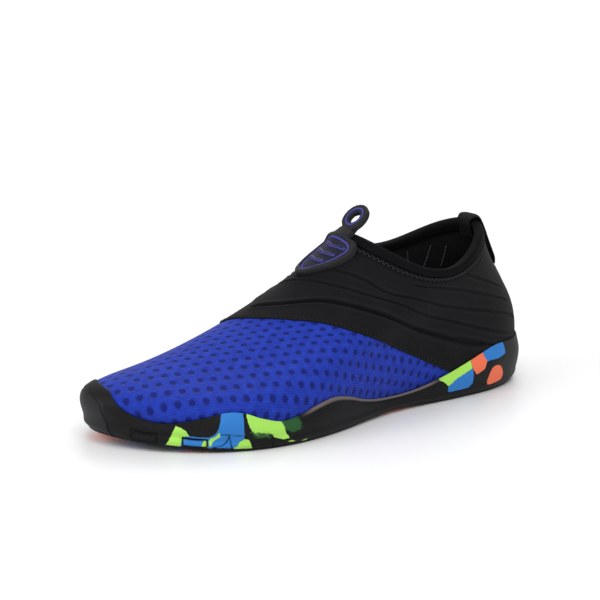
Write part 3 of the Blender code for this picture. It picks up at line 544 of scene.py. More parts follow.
def band_quads(rows: int, columns: int, closed: bool = True) -> Array:
    """Quads between rows of points.

    Args:
        rows: Number of rows.
        columns: Points in each row.
        closed: Whether each row runs all the way around.

    Returns:
        Four point numbers for each quad.
    """
    row = np.arange(rows - 1)[:, None]
    column = np.arange(columns if closed else columns - 1)[None]
    above, after = row + 1, (column + 1) % columns
    corners = [row * columns + column, above * columns + column,
               above * columns + after, row * columns + after]
    return np.stack([np.broadcast_to(corner, (row.size, column.size)) for corner in corners],
                    axis=-1).reshape(-1, 4)


def spanning_faces(ring_start: int, columns: int, first: int,
                   shape: tuple[int, int]) -> list[list[int]]:
    """Faces between an edge ring and the rows of points that span it from side to side.

    Args:
        ring_start: Number of the ring's first point.
        columns: Points in the ring.
        first: Number of the first point inside it.
        shape: Rows inside it and points in each.

    Returns:
        Point numbers of each face.
    """
    rows, inside = shape
    numbers = np.arange(rows * inside).reshape(rows, inside) + first
    outer = ring_start + 1 + np.arange(rows)
    inner = ring_start + columns - 1 - np.arange(rows)
    full = np.concatenate([outer[:, None], numbers, inner[:, None]], axis=1)
    quads = np.stack([full[:-1, :-1], full[1:, :-1], full[1:, 1:], full[:-1, 1:]], axis=-1)
    faces = quads.reshape(-1, 4).tolist()
    heel, toe = ring_start, ring_start + columns // 2
    faces += [[heel, full[0, step], full[0, step + 1]] for step in range(inside + 1)]
    faces += [[full[-1, step], toe, full[-1, step + 1]] for step in range(inside + 1)]
    return faces


def span_rows(edge: Array, across: int) -> tuple[Array, Array]:
    """Rows of points from the outer to the inner side of an edge ring.

    Args:
        edge: The ring.
        across: Points in each row.

    Returns:
        The rows without the edge itself, and each point's share of the way across.
    """
    half = len(edge) // 2
    outer, inner = edge[1:half], edge[:half:-1]
    shares = np.linspace(0.0, 1.0, across + 2)[1:-1]
    way = shares[None, :, None]
    return outer[:, None] * (1 - way) + inner[:, None] * way, shares


def linked(name: str, data: bpy.types.ID) -> Piece:
    """A new object in the scene with the given data."""
    new = bpy.data.objects.new(name, data)
    bpy.context.scene.collection.objects.link(new)
    return new


def make_mesh(name: str, points: Array, faces: Sequence[Sequence[int]] | Array,
              placed: bool = True) -> Piece:
    """Make a smooth mesh object.

    Args:
        name: Name of the piece.
        points: Its points.
        faces: Point numbers of its faces.
        placed: Whether the points still have to be moved to the shoe's frame.

    Returns:
        The new object, linked to the scene.
    """
    points = points.reshape(-1, 3)
    if placed:
        points = LAST.placed(points)
    if isinstance(faces, np.ndarray):
        faces = faces.tolist()
    mesh = bpy.data.meshes.new(name)
    mesh.from_pydata(points.tolist(), [], faces)
    builder = bmesh.new()
    builder.from_mesh(mesh)
    bmesh.ops.recalc_face_normals(builder, faces=builder.faces)
    builder.to_mesh(mesh)
    builder.free()
    mesh.shade_smooth()
    return linked(name, mesh)


def note(piece: Piece, name: str, values: Array) -> None:
    """Keep a number or a vector for each point, for the piece's finish to read."""
    kind = "FLOAT_VECTOR" if values.shape[-1:] == (3,) and values.ndim > 1 else "FLOAT"
    attribute = piece.data.attributes.new(name, kind, "POINT")
    slot = "vector" if kind == "FLOAT_VECTOR" else "value"
    attribute.data.foreach_set(slot, np.ascontiguousarray(values, dtype=np.float32).ravel())


def dress(name: str, points: Array, faces: Sequence[Sequence[int]] | Array, finish: "Finish",
          stands_for: tuple[str, str] | None = None, **notes: Array) -> Piece:
    """Make a piece, give it its finish and let it ride on the shoe.

    Args:
        name: Name of the piece.
        points: Its points.
        faces: Point numbers of its faces.
        finish: Its finish.
        stands_for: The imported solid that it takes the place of.
        notes: Numbers or vectors for each point, for the finish to read.

    Returns:
        The piece.
    """
    piece = make_mesh(name, points, faces)
    for key, values in notes.items():
        note(piece, key, values)
    piece.data.materials.append(finish.material())
    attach(piece, "root")
    if stands_for:
        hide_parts(stands_for[0])
    faces = sum(len(polygon.vertices) - 2 for polygon in piece.data.polygons)
    LOG.info("%s: %d triangles, finish %s", piece.name, faces, piece.data.materials[0].name)
    return piece


class Ink(Enum):
    """Colours of the shoe, in screen levels from 0 to 255."""

    MESH_BLUE = (34, 62, 178)
    MESH_DEEP = (22, 42, 140)
    # Dark blue of the well floors, whose darkness is painted shade in the recessed wells.
    MESH_WELL_SHADE = (10, 18, 88)
    KNIT_BLACK = (10, 10, 12)
    # Paler knit, for random pale patches and for the painted highlight on the quarter's pressed
    # ridges.
    KNIT_MOTTLE_AND_HIGHLIGHT = (23, 23, 26)
    LINING_BLACK = (20, 20, 22)
    SOLE_BLACK = (14, 14, 16)
    # Paler rubber, for the random mottle, the paler heel and the painted highlight on the toe cap.
    SOLE_MOTTLE_AND_HIGHLIGHT = (33, 33, 35)
    LIME = (164, 222, 92)
    SKY = (46, 120, 194)
    ORANGE = (234, 114, 80)
    MOSS = (38, 84, 44)
    TAB_BLACK = (20, 20, 22)
    TAB_NAVY = (13, 13, 38)
    TAB_VIOLET = (62, 62, 150)
    THREAD_BLACK = (20, 20, 23)
    FOAM_BLACK = (26, 26, 28)
    EDGE_TAN = (104, 94, 92)
    SEAM_GREY = (84, 84, 88)
    FLOOR_PALE = (246, 246, 247)

    @property
    def linear(self) -> tuple[float, float, float, float]:
        """The colour as a shader takes it."""
        levels = [level / 255 for level in self.value]
        curved = [((level + 0.055) / 1.055) ** 2.4 if level > 0.04045 else level / 12.92
                  for level in levels]
        return (*curved, 1.0)


class Recipe:
    """The nodes of one material, laid out by short calls."""

    def __init__(self, name: str) -> None:
        """Start a material with its plain shader."""
        self.material = bpy.data.materials.new(name)
        self.material.use_nodes = True
        self.tree = self.material.node_tree
        self.shader = self.tree.nodes["Principled BSDF"]

    def feed(self, target: Socket, value: Socket | float | Sequence[float] | Ink) -> None:
        """Link a socket to an input, or set the input to a number or colour."""
        if isinstance(value, Socket):
            self.tree.links.new(value, target)
        else:
            target.default_value = value.linear if isinstance(value, Ink) else value

    def node(self, kind: str, **settings: object) -> bpy.types.Node:
        """Add a node with its settings."""
        node = self.tree.nodes.new("ShaderNode" + kind)
        for name, value in settings.items():
            setattr(node, name, value)
        return node

    def place(self) -> Socket:
        """The point's place in the shoe's frame."""
        return self.node("TexCoord").outputs["Object"]

    def read(self, name: str, output: str = "Fac") -> Socket:
        """Read what note() kept for each point."""
        return self.node("Attribute", attribute_name=name).outputs[output]

    def split(self, vector: Socket) -> Sequence[Socket]:
        """The three numbers of a vector."""
        return self.work_out(self.node("SeparateXYZ"), [vector]).outputs

    def work_out(self, node: bpy.types.Node, values: Sequence[object]) -> bpy.types.Node:
        """Feed a node's inputs in their order."""
        for target, value in zip(node.inputs, values):
            self.feed(target, value)
        return node

    def sum(self, operation: str, *values: Socket | float) -> Socket:
        """Work out a number with the named operation."""
        return self.work_out(self.node("Math", operation=operation), values).outputs[0]

    def vector(self, operation: str, *values: Socket | Sequence[float],
               output: str = "Vector") -> Socket:
        """Work out a vector, or a number from vectors with another output."""
        return self.work_out(self.node("VectorMath", operation=operation), values).outputs[output]

    def ramp(self, value: Socket, low: float, high: float) -> Socket:
        """Ease from 0 at low to 1 at high."""
        node = self.node("MapRange", interpolation_type="SMOOTHSTEP")
        self.feed(node.inputs["Value"], value)
        node.inputs["From Min"].default_value = low
        node.inputs["From Max"].default_value = high
        return node.outputs["Result"]

    def mix(self, share: Socket | float, low: Socket | Ink, high: Socket | Ink) -> Socket:
        """Mix two colours."""
        node = self.node("Mix", data_type="RGBA")
        self.feed(node.inputs["Factor"], share)
        self.feed(node.inputs[6], low)
        self.feed(node.inputs[7], high)
        return node.outputs[2]

    def noise(self, size: float, detail: float = 2.0, where: Socket | None = None) -> Socket:
        """Soft noise with features of about the given size in metres."""
        node = self.node("TexNoise")
        self.feed(node.inputs["Vector"], where or self.place())
        node.inputs["Scale"].default_value = 1.0 / size
        node.inputs["Detail"].default_value = detail
        return node.outputs["Fac"]

    def waves(self, along: Socket, pitch: float) -> Socket:
        """Even ribs along a length, from 0 to 1."""
        wave = self.sum("SINE", self.sum("MULTIPLY", along, 2 * math.pi / pitch))
        return self.sum("MULTIPLY_ADD", wave, 0.5, 0.5)

    def bump(self, height: Socket, distance: float) -> Socket:
        """Normals of a relief of the given height in metres."""
        node = self.node("Bump")
        self.feed(node.inputs["Height"], height)
        node.inputs["Distance"].default_value = distance
        return node.outputs["Normal"]

    def finish(self, colour: Socket | Ink, roughness: Socket | float,
               normal: Socket | None = None,
               **constants: float | Sequence[float]) -> Material:
        """Wire up the shader.

        Args:
            colour: Base colour.
            roughness: Roughness.
            normal: Normals of the relief.
            constants: Other inputs of the shader, by name with _ for a space.

        Returns:
            The material.
        """
        self.feed(self.shader.inputs["Base Color"], colour)
        self.feed(self.shader.inputs["Roughness"], roughness)
        if normal is not None:
            self.feed(self.shader.inputs["Normal"], normal)
        for name, value in constants.items():
            self.shader.inputs[name.replace("_", " ")].default_value = value
        return self.material


class Finish:
    """A finish that makes its material once and hands it to every piece that wears it."""

    made: ClassVar[dict["Finish", Material]] = {}

    def material(self) -> Material:
        """The finish's material."""
        if self not in self.made:
            self.made[self] = self.mix_up()
        return self.made[self]

    def mix_up(self) -> Material:
        """Make the material."""
        raise NotImplementedError


@dataclass(frozen=True)
class SpacerMesh(Finish):
    """Blue spacer knit with staggered oval wells, laid out by the piece's cloth lengths; the well
    floors are darkened as painted shade.
    """

    pitch: float = 6.15 * MM
    row_pitch: float = 10.2 * MM
    well_length: float = 1.50 * MM
    well_width: float = 1.30 * MM
    strand_pitch: float = 0.62 * MM
    course_pitch: float = 0.62 * 1.3 * MM
    fray: float = 0.55
    well_rim: tuple[float, float] = (1.65, 0.90)
    weave_shade: float = 0.55
    # How far the well floors are darkened further, as painted shade in the recesses.
    well_shade: float = 0.35
    relief: float = 0.35 * MM

    def well_reach(self, recipe: Recipe, cloth: Socket, shift: float) -> Socket:
        """Distance to the nearest well's middle, as a share of the well's half size.

        Args:
            recipe: The material's nodes.
            cloth: Lengths along and across the cloth.
            shift: Shift of the grid of wells, in pitches.

        Returns:
            The share, which is 1 on the well's rim.
        """
        size = (self.pitch, self.row_pitch, 1.0)
        cells = recipe.vector("DIVIDE", cloth, size)
        cells = recipe.vector("FRACTION", recipe.vector("ADD", cells, (shift, shift, 0.0)))
        centred = recipe.vector("SUBTRACT", cells, (0.5, 0.5, 0.0))
        reach = (self.pitch / self.well_length, self.row_pitch / self.well_width, 0.0)
        return recipe.vector("LENGTH", recipe.vector("MULTIPLY", centred, reach), output="Value")

    def mix_up(self) -> Material:
        """Make the material."""
        recipe = Recipe("spacer_mesh_blue")
        cloth = recipe.read("cloth", "Vector")
        reach = recipe.sum("MINIMUM", self.well_reach(recipe, cloth, 0.0),
                           self.well_reach(recipe, cloth, 0.5))
        frayed = recipe.sum("MULTIPLY_ADD", recipe.noise(0.7 * MM, 3.0), self.fray, reach)
        well = recipe.ramp(frayed, *self.well_rim)
        along, across, _ = recipe.split(cloth)
        strands = recipe.waves(along, self.strand_pitch)
        weave = recipe.sum("MULTIPLY", strands, recipe.waves(across, self.course_pitch))
        shade = recipe.sum("MULTIPLY_ADD", weave, self.weave_shade, recipe.noise(3 * MM, 4.0))
        lattice = recipe.mix(recipe.ramp(shade, 0.25, 1.05), Ink.MESH_DEEP, Ink.MESH_BLUE)
        # Well floors: stripes of their own weave, darkened as painted shade in the recesses.
        floor = recipe.mix(strands, Ink.MESH_WELL_SHADE, Ink.MESH_DEEP)
        floor = recipe.mix(self.well_shade, floor, Ink.MESH_WELL_SHADE)
        colour = recipe.mix(well, lattice, floor)
        height = recipe.sum("SUBTRACT", recipe.sum("MULTIPLY", weave, 0.25), well)
        normal = recipe.bump(height, self.relief)
        return recipe.finish(colour, 0.72, normal, Sheen_Weight=0.10, Sheen_Roughness=0.35,
                             Specular_IOR_Level=0.12)


@dataclass(frozen=True)
class FineKnit(Finish):
    """Black stretch knit with a close rib, paler in random patches, with a painted highlight and
    painted shade from the piece's ridge note.
    """

    name: str = "quarter_knit_black"
    dark: Ink = Ink.KNIT_BLACK
    # Colour of the random paler patches and of the painted highlight on the ridges.
    pale: Ink = Ink.KNIT_MOTTLE_AND_HIGHLIGHT
    rib: float = 0.75 * MM
    relief: float = 0.18 * MM
    roughness: float = 0.78
    sheen: float = 0.03
    gloss: float = 0.12
    lean: float = 0.4

    def mix_up(self) -> Material:
        """Make the material."""
        recipe = Recipe(self.name)
        along, side, up = recipe.split(recipe.place())
        across = recipe.sum("ADD", up, recipe.sum("MULTIPLY", side, self.lean))
        ribs = recipe.waves(across, self.rib)
        knit = recipe.sum("MULTIPLY", ribs, recipe.waves(along, self.rib * 1.4))
        fuzz = recipe.noise(0.5 * MM, 3.0)
        height = recipe.sum("MULTIPLY_ADD", knit, 0.7, fuzz)
        patchy = recipe.noise(14 * MM, 3.0)
        tone = recipe.sum("MULTIPLY_ADD", fuzz, 0.5, recipe.sum("MULTIPLY", patchy, 0.6))
        # The ridge note paints a highlight on pressed ridges and shade in their troughs and under
        # the cover stitch.
        tone = recipe.sum("ADD", tone, recipe.read("ridge"))
        colour = recipe.mix(recipe.ramp(tone, 0.20, 1.15), self.dark, self.pale)
        normal = recipe.bump(height, self.relief)
        return recipe.finish(colour, self.roughness, normal, Sheen_Weight=self.sheen,
                             Sheen_Roughness=0.45, Specular_IOR_Level=self.gloss)


@dataclass(frozen=True)
class SoleRubber(Finish):
    """Black moulded rubber, marbled with the colours whose patches the piece keeps, with painted
    shade in its grooves and a painted highlight on its toe cap.
    """

    name: str = "sole_rubber"
    edge: float = 0.12 * MM
    soft_edge: float = 0.60 * MM
    roughness: float = 0.56
    # Ramp of the painted shade in the grooves, by distance to them.
    groove_shade_rim: tuple[float, float] = (0.55 * MM, 0.25 * MM)
    swirl_size: float = 30 * MM
    swirl_rim: tuple[float, float] = (0.555, 0.565)

    def mix_up(self) -> Material:
        """Make the material."""
        recipe = Recipe(self.name)
        grain = recipe.noise(0.8 * MM, 4.0)
        mottle = recipe.noise(9 * MM, 4.0)
        # Paler in the random mottle, on the heel, and on the toe cap as a painted highlight.
        pale = recipe.sum("MULTIPLY_ADD", mottle, 0.6, recipe.read("lit_toe_pale_heel"))
        colour = recipe.mix(recipe.ramp(pale, 0.25, 1.3), Ink.SOLE_BLACK, Ink.SOLE_MOTTLE_AND_HIGHLIGHT)
        under = recipe.read("under")
        streaks = recipe.vector("MULTIPLY", recipe.place(), (0.45, 0.45, 1.6))
        frayed = recipe.sum("SUBTRACT", recipe.noise(1.3 * MM, 5.0, streaks), 0.5)
        for name, ink, fray, edge in (("sky", Ink.SKY, 0.5 * MM, self.edge),
                                      ("lime", Ink.LIME, 1.2 * MM, self.edge),
                                      ("moss", Ink.MOSS, 6.0 * MM, self.soft_edge),
                                      ("orange", Ink.ORANGE, 0.4 * MM, self.edge)):
            reach = recipe.sum("MULTIPLY_ADD", frayed, fray, recipe.read(name))
            patch = recipe.ramp(reach, -edge, edge)
            colour = recipe.mix(patch, colour, ink)
        for shift, ink in ((0.0, Ink.LIME), (0.1, Ink.SKY), (0.2, Ink.ORANGE)):
            where = recipe.vector("ADD", recipe.place(), (shift, shift, 0.0))
            swirl = recipe.ramp(recipe.noise(self.swirl_size, 3.0, where), *self.swirl_rim)
            colour = recipe.mix(recipe.sum("MULTIPLY", swirl, under), colour, ink)
        # Painted shade in the grooves, darkest at their middle.
        groove = recipe.ramp(recipe.read("groove"), *self.groove_shade_rim)
        colour = recipe.mix(groove, colour, Ink.KNIT_BLACK)
        colour = recipe.mix(recipe.read("rim"), colour, Ink.EDGE_TAN)
        normal = recipe.bump(grain, 0.05 * MM)
        rough = recipe.sum("MULTIPLY_ADD", grain, 0.16, self.roughness - 0.08)
        return recipe.finish(colour, rough, normal, Specular_IOR_Level=0.17)


@dataclass(frozen=True)
class TabRubber(Finish):
    """Moulded tab: matte border, dark field and a thin inlaid line."""

    name: str = "tab_rubber"

    def mix_up(self) -> Material:
        """Make the material."""
        recipe = Recipe(self.name)
        grain = recipe.noise(0.5 * MM, 3.0)
        mottle = recipe.ramp(recipe.noise(5 * MM, 3.0), 0.3, 0.9)
        body = recipe.mix(mottle, Ink.TAB_BLACK, Ink.KNIT_MOTTLE_AND_HIGHLIGHT)
        inlay = recipe.ramp(recipe.read("field"), -0.1 * MM, 0.1 * MM)
        colour = recipe.mix(inlay, body, Ink.TAB_NAVY)
        line = recipe.ramp(recipe.read("line"), -0.08 * MM, 0.08 * MM)
        colour = recipe.mix(line, colour, Ink.TAB_VIOLET)
        normal = recipe.bump(grain, 0.04 * MM)
        rough = recipe.sum("MULTIPLY_ADD", grain, 0.2, 0.44)
        return recipe.finish(colour, rough, normal, Specular_IOR_Level=0.25)


@dataclass(frozen=True)
class Webbing(Finish):
    """Narrow woven tape with cross ribs, laid out by its own lengths."""

    name: str = "webbing_black"
    rib: float = 0.95 * MM
    relief: float = 0.22 * MM

    def mix_up(self) -> Material:
        """Make the material."""
        recipe = Recipe(self.name)
        along, across, _ = recipe.split(recipe.read("cloth", "Vector"))
        ends = recipe.waves(across, self.rib * 1.2)
        weave = recipe.sum("MULTIPLY_ADD", ends, 0.5, recipe.waves(along, self.rib))
        fuzz = recipe.noise(0.4 * MM, 3.0)
        height = recipe.sum("MULTIPLY_ADD", fuzz, 0.4, weave)
        colour = recipe.mix(recipe.ramp(height, 0.2, 1.7), Ink.KNIT_BLACK, Ink.THREAD_BLACK)
        return recipe.finish(colour, 0.75, recipe.bump(height, self.relief),
                             Specular_IOR_Level=0.15)


@dataclass(frozen=True)
class Thread(Finish):
    """Sewing thread with a fine twist."""

    name: str = "thread_black"
    ink: Ink = Ink.THREAD_BLACK

    def mix_up(self) -> Material:
        """Make the material."""
        recipe = Recipe(self.name)
        twist = recipe.noise(0.35 * MM, 2.0)
        colour = recipe.mix(recipe.ramp(twist, 0.3, 0.7), Ink.KNIT_BLACK, self.ink)
        return recipe.finish(colour, 0.6, recipe.bump(twist, 0.08 * MM), Specular_IOR_Level=0.35)


@dataclass(frozen=True)
class FloorPaint(Finish):
    """Pale matte floor, which glows behind the shoe, where the lamps no longer reach."""

    name: str = "floor_pale"
    backwards: tuple[float, float, float] = (-0.632, -0.775, 0.0)
    glow: float = 0.42
    glow_start: float = 0.5
    glow_end: float = 1.9

    def mix_up(self) -> Material:
        """Make the material."""
        recipe = Recipe(self.name)
        away = recipe.vector("DOT_PRODUCT", recipe.place(), self.backwards, output="Value")
        glow = recipe.sum("MULTIPLY", recipe.ramp(away, self.glow_start, self.glow_end),
                          self.glow)
        recipe.feed(recipe.shader.inputs["Emission Strength"], glow)
        return recipe.finish(Ink.FLOOR_PALE, 0.4, Specular_IOR_Level=0.2,
                             Emission_Color=(1.0, 1.0, 1.0, 1.0))


class Relief(NamedTuple):
    """A line pressed into the quarter: a trough between two low ridges."""

    line: tuple[Place, ...]
    depth: float
    width: float
    ridge: float


@dataclass
class Upper:
    """Vamp of blue mesh, quarter of black knit and the lining inside them."""

    columns: int = 720
    vamp_rows: int = 96
    quarter_rows: int = 118
    lining_columns: int = 360
    lining_rows: int = 90
    guide_rows: int = 25
    guide_columns: int = 145
    vamp_start: float = 0.315
    below_lip: float = 0.7
    below_seam: float = 0.8
    overlap: float = 0.012
    crowding: float = 1.15
    edge_steps: tuple[float, ...] = (0.0, 0.001, 0.003, 0.006, 0.010)
    edge_lifts: tuple[float, ...] = (-0.3, 0.45, 0.85, 1.0, 1.05)
    first_step: float = 0.015
    grain_turn: float = math.radians(-29)
    stretch_start: float = -6.4 * MM
    stretch: float = 18.0
    low_pull: float = 1.25
    # Band under the cover stitch: pressed in and darkened as painted shade.
    cover_middle: float = 6.7 * MM
    cover_reach: float = 1.9 * MM
    cover_depth: float = 0.25 * MM
    ridge_place: float = 1.9
    # Painted highlight on the ridges beside each pressed line, and painted shade in its trough.
    ridge_highlight: float = 0.30
    trough_shade: float = 0.9
    reliefs: tuple[Relief, ...] = (
        Relief(corners((0.26, 0.28), (0.30, 0.32), (0.39, 0.45), (0.50, 0.60), (0.65, 0.73),
                       (0.75, 0.765), (0.84, 0.76), (0.94, 0.70), (1.02, 0.66)),
               1.60 * MM, 1.20 * MM, 0.50 * MM),
        Relief(corners((0.12, 0.26), (0.18, 0.30), (0.39, 0.57), (0.61, 0.78), (0.79, 0.825),
                       (0.92, 0.81), (1.09, 0.76)),
               0.65 * MM, 0.75 * MM, 0.28 * MM),
        Relief(corners((0.12, 0.35), (0.18, 0.435), (0.34, 0.615), (0.56, 0.805), (0.67, 0.84),
                       (0.79, 0.875), (0.91, 0.87)),
               0.65 * MM, 0.75 * MM, 0.28 * MM),
        Relief(corners((0.15, 0.50), (0.23, 0.61), (0.46, 0.85), (0.62, 0.90)),
               0.55 * MM, 0.70 * MM, 0.25 * MM),
        Relief(corners((0.15, 0.60), (0.23, 0.71), (0.38, 0.905)),
               0.55 * MM, 0.70 * MM, 0.25 * MM),
        Relief(corners((0.18, 0.17), (0.22, 0.22), (0.295, 0.34), (0.345, 0.41)),
               0.55 * MM, 0.70 * MM, 0.25 * MM),
    )

    def both_sides(self) -> list[Relief]:
        """The pressed lines of the outer side and their mirror on the inner side."""
        inner = [Relief(tuple(place for place in mirror(relief.line) if place.turn >= 1.0),
                        *relief[1:]) for relief in self.reliefs]
        return list(self.reliefs) + inner

    def vamp_angles(self) -> Array:
        """Angles of the vamp's columns, from side to side over the toe."""
        return np.linspace(self.vamp_start, 2.0 - self.vamp_start, self.columns) * math.pi

    def vamp_skin(self, angles: Array, rows: int) -> Skin:
        """Grid over the vamp, from inside the cup to under the quarter's edge."""
        seam = LAST.seam_shares(angles)
        low = np.minimum(LAST.lip_shares(angles) * self.below_lip, seam * self.below_seam)
        high = seam + self.overlap
        steps = np.linspace(0.0, 1.0, rows)[:, None] ** self.crowding
        return Skin(angles, low * (1 - steps) + high * steps, 0.0)

    def cloth_lengths(self, angles: Array, rows: int) -> Array:
        """Lay the vamp's cloth flat.

        Args:
            angles: Angles of the columns.
            rows: Number of rows.

        Returns:
            Lengths along and across the flat cloth, for each point of the grid.
        """
        shape = self.guide_rows, self.guide_columns
        skin = self.vamp_skin(np.linspace(angles[0], angles[-1], shape[1]), shape[0])
        guide = make_mesh("cloth_guide", skin.points, band_quads(*shape, closed=False))
        guide.data.uv_layers.new(name="flat")
        bpy.context.view_layer.objects.active = guide
        guide.select_set(True)
        bpy.ops.object.mode_set(mode="EDIT")
        bpy.ops.mesh.select_all(action="SELECT")
        bpy.ops.uv.unwrap(method="ANGLE_BASED", margin=0.0)
        bpy.ops.object.mode_set(mode="OBJECT")
        flat = np.zeros((len(guide.data.vertices), 2))
        corners = guide.data.uv_layers["flat"].data
        for loop in guide.data.loops:
            flat[loop.vertex_index] = corners[loop.index].uv
        area = sum(polygon.area for polygon in guide.data.polygons)
        flat = flat.reshape(*shape, 2)
        across, along = np.gradient(flat, axis=0), np.gradient(flat, axis=1)
        flat_area = np.abs(across[..., 0] * along[..., 1] - across[..., 1] * along[..., 0]).sum()
        flat = flat * math.sqrt(area / flat_area)
        middle = shape[1] // 2
        toe, back = flat[shape[0] // 3, middle], flat[-1, middle]
        forward = (toe - back) / np.linalg.norm(toe - back)
        sideways = np.array([-forward[1], forward[0]])
        bias = forward * math.cos(self.grain_turn) + sideways * math.sin(self.grain_turn)
        across_bias = np.array([-bias[1], bias[0]])
        rows_along, rows_across = (flat - toe) @ bias, (flat - toe) @ across_bias
        past = rows_across - self.stretch_start
        rows_across = (np.minimum(past, 0.0) * self.low_pull
                       + np.log1p(np.maximum(past, 0.0) * self.stretch) / self.stretch)
        turned = np.stack([rows_along, rows_across], axis=-1)
        bpy.data.objects.remove(guide)
        rows_at = np.linspace(0.0, shape[0] - 1.0, rows)
        columns_at = np.linspace(0.0, shape[1] - 1.0, len(angles))
        upright = np.stack([[np.interp(rows_at, np.arange(shape[0]), turned[:, column, axis])
                             for column in range(shape[1])] for axis in range(2)])
        return np.stack([[np.interp(columns_at, np.arange(shape[1]), upright[axis, :, row])
                          for row in range(rows)] for axis in range(2)], axis=-1)

    def make_vamp(self) -> Piece:
        """The blue mesh over the toes."""
        angles = self.vamp_angles()
        skin = self.vamp_skin(angles, self.vamp_rows)
        cloth = self.cloth_lengths(angles, self.vamp_rows)
        cloth = np.dstack([cloth, np.zeros(cloth.shape[:2])]).reshape(-1, 3)
        return dress("upper_vamp", skin.points,
                     band_quads(*skin.shares.shape, closed=False), SpacerMesh(),
                     ("upper", "upper_knit"), cloth=cloth)

    def quarter_skin(self) -> Skin:
        """Grid over the quarter, whose lower edge rolls down onto the vamp."""
        angles = full_turn(self.columns)
        seam = LAST.seam_shares(angles)
        above = np.linspace(self.first_step, 1.0, self.quarter_rows - len(self.edge_steps))
        steps = np.concatenate([self.edge_steps, above])[:, None]
        lifts = np.concatenate([self.edge_lifts, np.ones(len(above))])[:, None]
        return Skin(angles, seam + (1.0 - seam) * steps, lifts * LAST.quarter_step)

    def make_quarter(self) -> Piece:
        """The black knit around the foot, with its pressed lines."""
        skin = self.quarter_skin()
        depth = np.zeros(skin.shares.shape)
        ridge = np.zeros(skin.shares.shape)
        for relief in self.both_sides():
            distance, fade = skin.groove_distance(relief.line)
            trough = np.exp(-(distance / relief.width) ** 2) * fade
            aside = np.abs(distance) - self.ridge_place * relief.width
            beside = np.exp(-(aside / relief.width) ** 2) * fade
            depth += relief.depth * trough - relief.ridge * beside
            # Painted highlight on the ridges, painted shade in the trough.
            ridge += self.ridge_highlight * beside - self.trough_shade * trough
        below_collar = skin.heights[-1] - skin.heights
        band = np.exp(-((below_collar - self.cover_middle) / self.cover_reach) ** 4)
        depth += self.cover_depth * band
        # Painted shade in the band under the cover stitch.
        ridge -= self.trough_shade * band
        skin.press(depth)
        return dress("upper_quarter", skin.points, band_quads(*ridge.shape), FineKnit(),
                     ("upper", "upper_knit"), ridge=ridge.ravel())

    def make_lining(self) -> Piece:
        """The inner face of the upper, from the collar down to the insole."""
        angles = full_turn(self.lining_columns)
        skin = Skin(angles, np.linspace(1.0, 0.0, self.lining_rows)[:, None], -LAST.wall)
        finish = FineKnit(name="lining_knit", dark=Ink.LINING_BLACK, rib=1.1 * MM,
                          relief=0.14 * MM)
        lining = dress("upper_lining", skin.points, band_quads(*skin.shares.shape), finish,
                       ("upper", "upper_knit"), ridge=np.zeros(skin.shares.size))
        lining.data.flip_normals()
        return lining

    def build(self) -> None:
        """Build the three skins of the upper."""
        self.make_vamp()
        self.make_quarter()
        self.make_lining()


class Patch(NamedTuple):
    """A coloured patch on the sole's side, by its corners, which may be rounded off."""

    ink: str
    corners: tuple[Place, ...]
    rounded: bool = False


class Mark(NamedTuple):
    """Values that the sole's finish reads: on its side, on the rim below that and on the tread."""

    name: str
    side: Array
    rim: float
    tread: float


